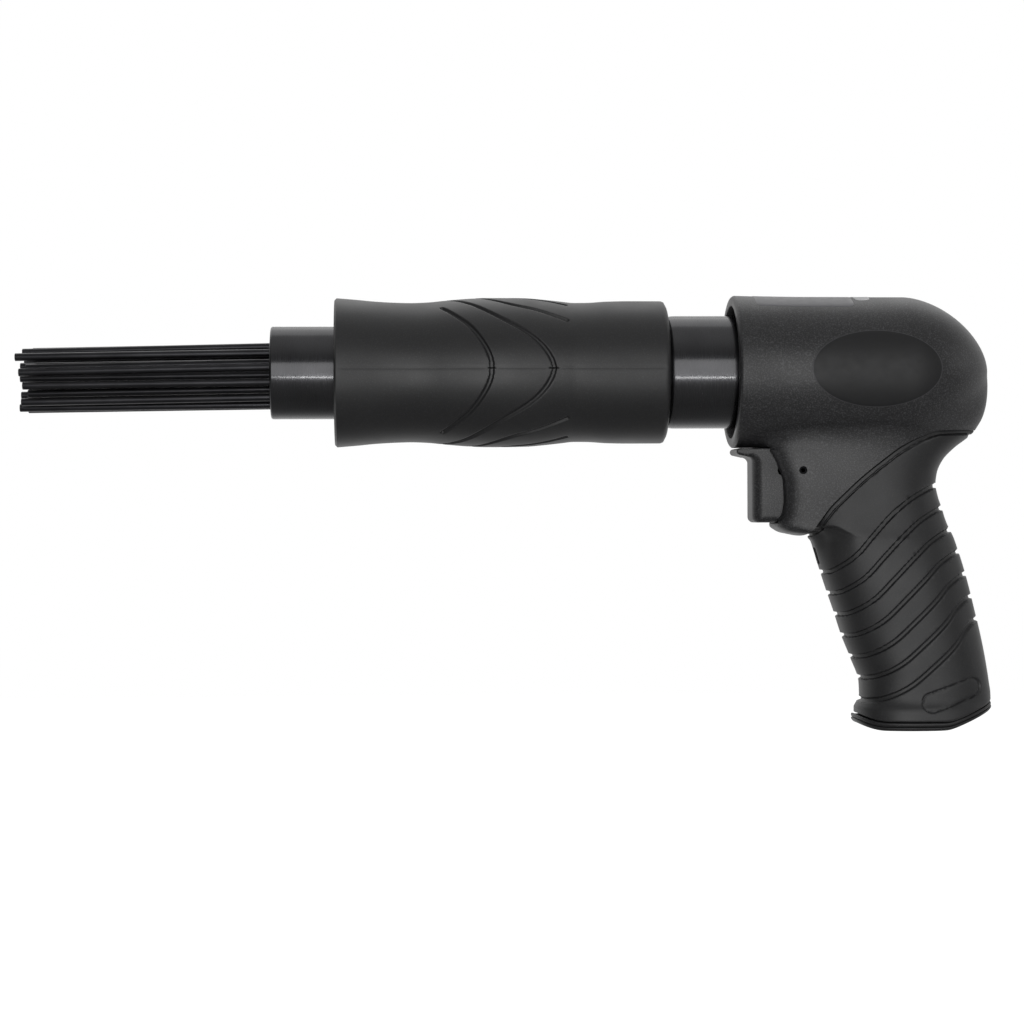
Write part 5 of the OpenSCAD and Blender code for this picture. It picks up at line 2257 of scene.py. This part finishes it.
@dataclass
class Studio:
    """Floor, light, background and camera.

    Attributes:
        aim: Point at the middle of the picture.
        distance: Distance from there to the camera.
        turn: Degrees by which the camera stands toward the needles.
        roll: Degrees by which the camera leans.
        focal: Focal length as a share of the picture's width.
        floor: Height of the floor.
        floor_size: Width of the floor in metres.
        ambient: Level of the room's light on matt surfaces.
        clip: Nearest and furthest distance that the camera sees, in metres.
        lamps: Name, place, width and height in metres, and power in watts of each softbox.
        lamp_aim: The point that the softboxes face, in metres.
    """

    aim: Triple = (-153.7, 0.0, 84.9)
    distance: float = 1000.0
    turn: float = 2.8
    roll: float = -0.24
    focal: float = 2575 / 1024
    floor: float = -200.0
    floor_size: float = 6.0
    ambient: float = 0.12
    clip: Pair = (0.05, 50)
    lamps: tuple[tuple[str, Triple, Pair, float], ...] = (
        ("softbox_top", (-0.15, 0.6, 1.0), (1.6, 0.8), 3.1),
        ("softbox_front", (0.0, -2.1, 0.4), (2.4, 1.2), 24.5),
        ("softbox_right", (1.9, -0.3, 0.6), (1.0, 1.0), 3.8),
        ("strip_low", (-0.16, -1.3, -0.17), (0.6, 0.04), 2.7),
    )
    lamp_aim: Triple = (-0.15, 0.0, 0.12)

    def camera(self) -> None:
        """Sets the camera at the photograph's place."""
        data = bpy.data.cameras.new("camera")
        camera = linked("camera", data)
        a = math.radians(self.turn)
        back = Vector((-math.sin(a), -math.cos(a), 0))
        camera.location = (Vector(self.aim) + back * self.distance) * MM
        camera.rotation_mode = "QUATERNION"
        lean = Quaternion((0, 0, 1), math.radians(self.roll))
        camera.rotation_quaternion = (-back).to_track_quat("-Z", "Y") @ lean
        data.lens = data.sensor_width * self.focal
        data.clip_start, data.clip_end = self.clip
        bpy.context.scene.camera = camera

    def lamp(self, name: str, place: Triple, size: Pair, power: float) -> None:
        """Adds a softbox.

        Args:
            name: Name of the lamp.
            place: Its place in metres.
            size: Its width and height in metres.
            power: Its power in watts.
        """
        data = bpy.data.lights.new(name, "AREA")
        data.shape = "RECTANGLE"
        data.size, data.size_y = size
        data.energy = power
        lamp = linked(name, data)
        lamp.location = place
        way = Vector(self.lamp_aim) - Vector(place)
        lamp.rotation_euler = way.to_track_quat("-Z", "Y").to_euler()

    def rays(self, tree: Tree) -> tuple[Socket, Socket]:
        """Gives the marks of the camera's rays and of mirrored ones.

        Args:
            tree: The node tree.

        Returns:
            The mark of camera rays and that of mirrored or refracted ones.
        """
        ray = add(tree, "LightPath").outputs
        sides = {0: ray["Is Glossy Ray"], 1: ray["Is Transmission Ray"]}
        return ray["Is Camera Ray"], add(tree, "Math", sides, operation="MAXIMUM").outputs[0]

    def light(self) -> None:
        """Hangs the softboxes and sets the room behind them."""
        for lamp in self.lamps:
            self.lamp(*lamp)
        world = bpy.context.scene.world = bpy.data.worlds.new("white_studio")
        tree = bare_tree(world)
        camera, shiny = self.rays(tree)
        way = add(tree, "SeparateXYZ", {0: add(tree, "TexCoord").outputs["Generated"]})
        # The white backdrop stands behind the object, and the room on the camera's side is dim below
        low = add(tree, "MapRange", {0: way.outputs[2], 1: -0.5, 2: 0.4, 3: 0.04, 4: 0.22})
        high = add(tree, "MapRange", {0: way.outputs[2], 1: 0.5, 2: 1.0, 3: 0.0, 4: 0.55})
        room = add(tree, "Math", {0: low, 1: high}, operation="ADD")
        wall = add(tree, "MapRange", {0: way.outputs[1], 1: 0.05, 2: 0.5, 3: room, 4: 1.0})
        dim = add(tree, "Mix", {0: shiny, 2: self.ambient, 3: wall})
        level = add(tree, "Mix", {0: camera, 2: dim, 3: 1.0})
        sky = add(tree, "Background", {"Color": linear("#ffffff"), "Strength": level})
        add(tree, "OutputWorld", {"Surface": sky})

    def ground(self) -> None:
        """Lays a pale floor well below the object, with a painted shadow pool under it."""
        settle()
        bpy.ops.mesh.primitive_plane_add(size=self.floor_size, location=(0, 0, self.floor * MM))
        floor = adopt("studio_floor")
        bpy.ops.object.transform_apply(location=True, rotation=True, scale=True)
        paper = bpy.data.materials.new("paper_floor_matt")
        tree = bare_tree(paper)
        spot = add(tree, "TexCoord").outputs["Object"]
        fibre = add(tree, "TexNoise", {"Vector": spot, "Scale": 400.0})
        tones = {0: fibre, 6: linear("#d8d8d8"), 7: linear("#dedede")}
        tone = add(tree, "Mix", tones, data_type="RGBA")
        matt = add(tree, "BsdfDiffuse", {"Color": tone.outputs[2]})
        # The paper's glow is white away from the object and fades to a painted shadow below it
        below = (-0.15, 0.0, self.floor * MM)
        away = add(tree, "VectorMath", {0: spot, 1: below}, operation="DISTANCE")
        painted_shadow_pool = add(tree, "MapRange", {0: away.outputs["Value"], 1: 0.12, 2: 0.42, 3: 0.05, 4: 1.0})
        camera, shiny = self.rays(tree)
        # In reflections the paper is dim on the camera's side
        spot_y = add(tree, "SeparateXYZ", {0: spot}).outputs[1]
        behind = add(tree, "MapRange", {0: spot_y, 1: -0.1, 2: 0.25, 3: 0.06, 4: 0.8})
        mirrored = add(tree, "Math", {0: shiny, 1: behind}, operation="MULTIPLY")
        shaded = add(tree, "Math", {0: mirrored, 1: painted_shadow_pool}, operation="MULTIPLY")
        # The camera sees pale paper with the object's soft shadow on it, partly real shadow and partly
        # the painted shadow pool
        pale = add(tree, "MapRange", {0: painted_shadow_pool, 1: 0.05, 2: 1.0, 3: 0.5, 4: 1.0})
        seen = add(tree, "Math", {0: camera, 1: pale}, operation="MULTIPLY")
        lift = add(tree, "Math", {0: seen, 1: shaded}, operation="MAXIMUM")
        glow = add(tree, "Emission", {"Color": linear("#ffffff"), "Strength": lift})
        both = add(tree, "AddShader", {0: matt, 1: glow})
        add(tree, "OutputMaterial", {"Surface": both})
        floor.data.materials.append(paper)

    def build(self) -> None:
        """Sets camera, lights and floor."""
        self.camera()
        self.light()
        self.ground()
        bpy.context.scene.view_settings.view_transform = "Standard"


def main() -> None:
    """Builds every sub-assembly."""
    logging.basicConfig(level=logging.INFO, format="%(message)s")
    Studio().build()
    Works().dress()
    for part in (Needles(), Tubes(), Sleeve(), Housing(), Grip(), Trigger(), Labels(), Springs()):
        LOG.info("building %s", type(part).__name__)
        part.build()
    settle()
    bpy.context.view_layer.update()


if __name__ == "__main__":
    main()
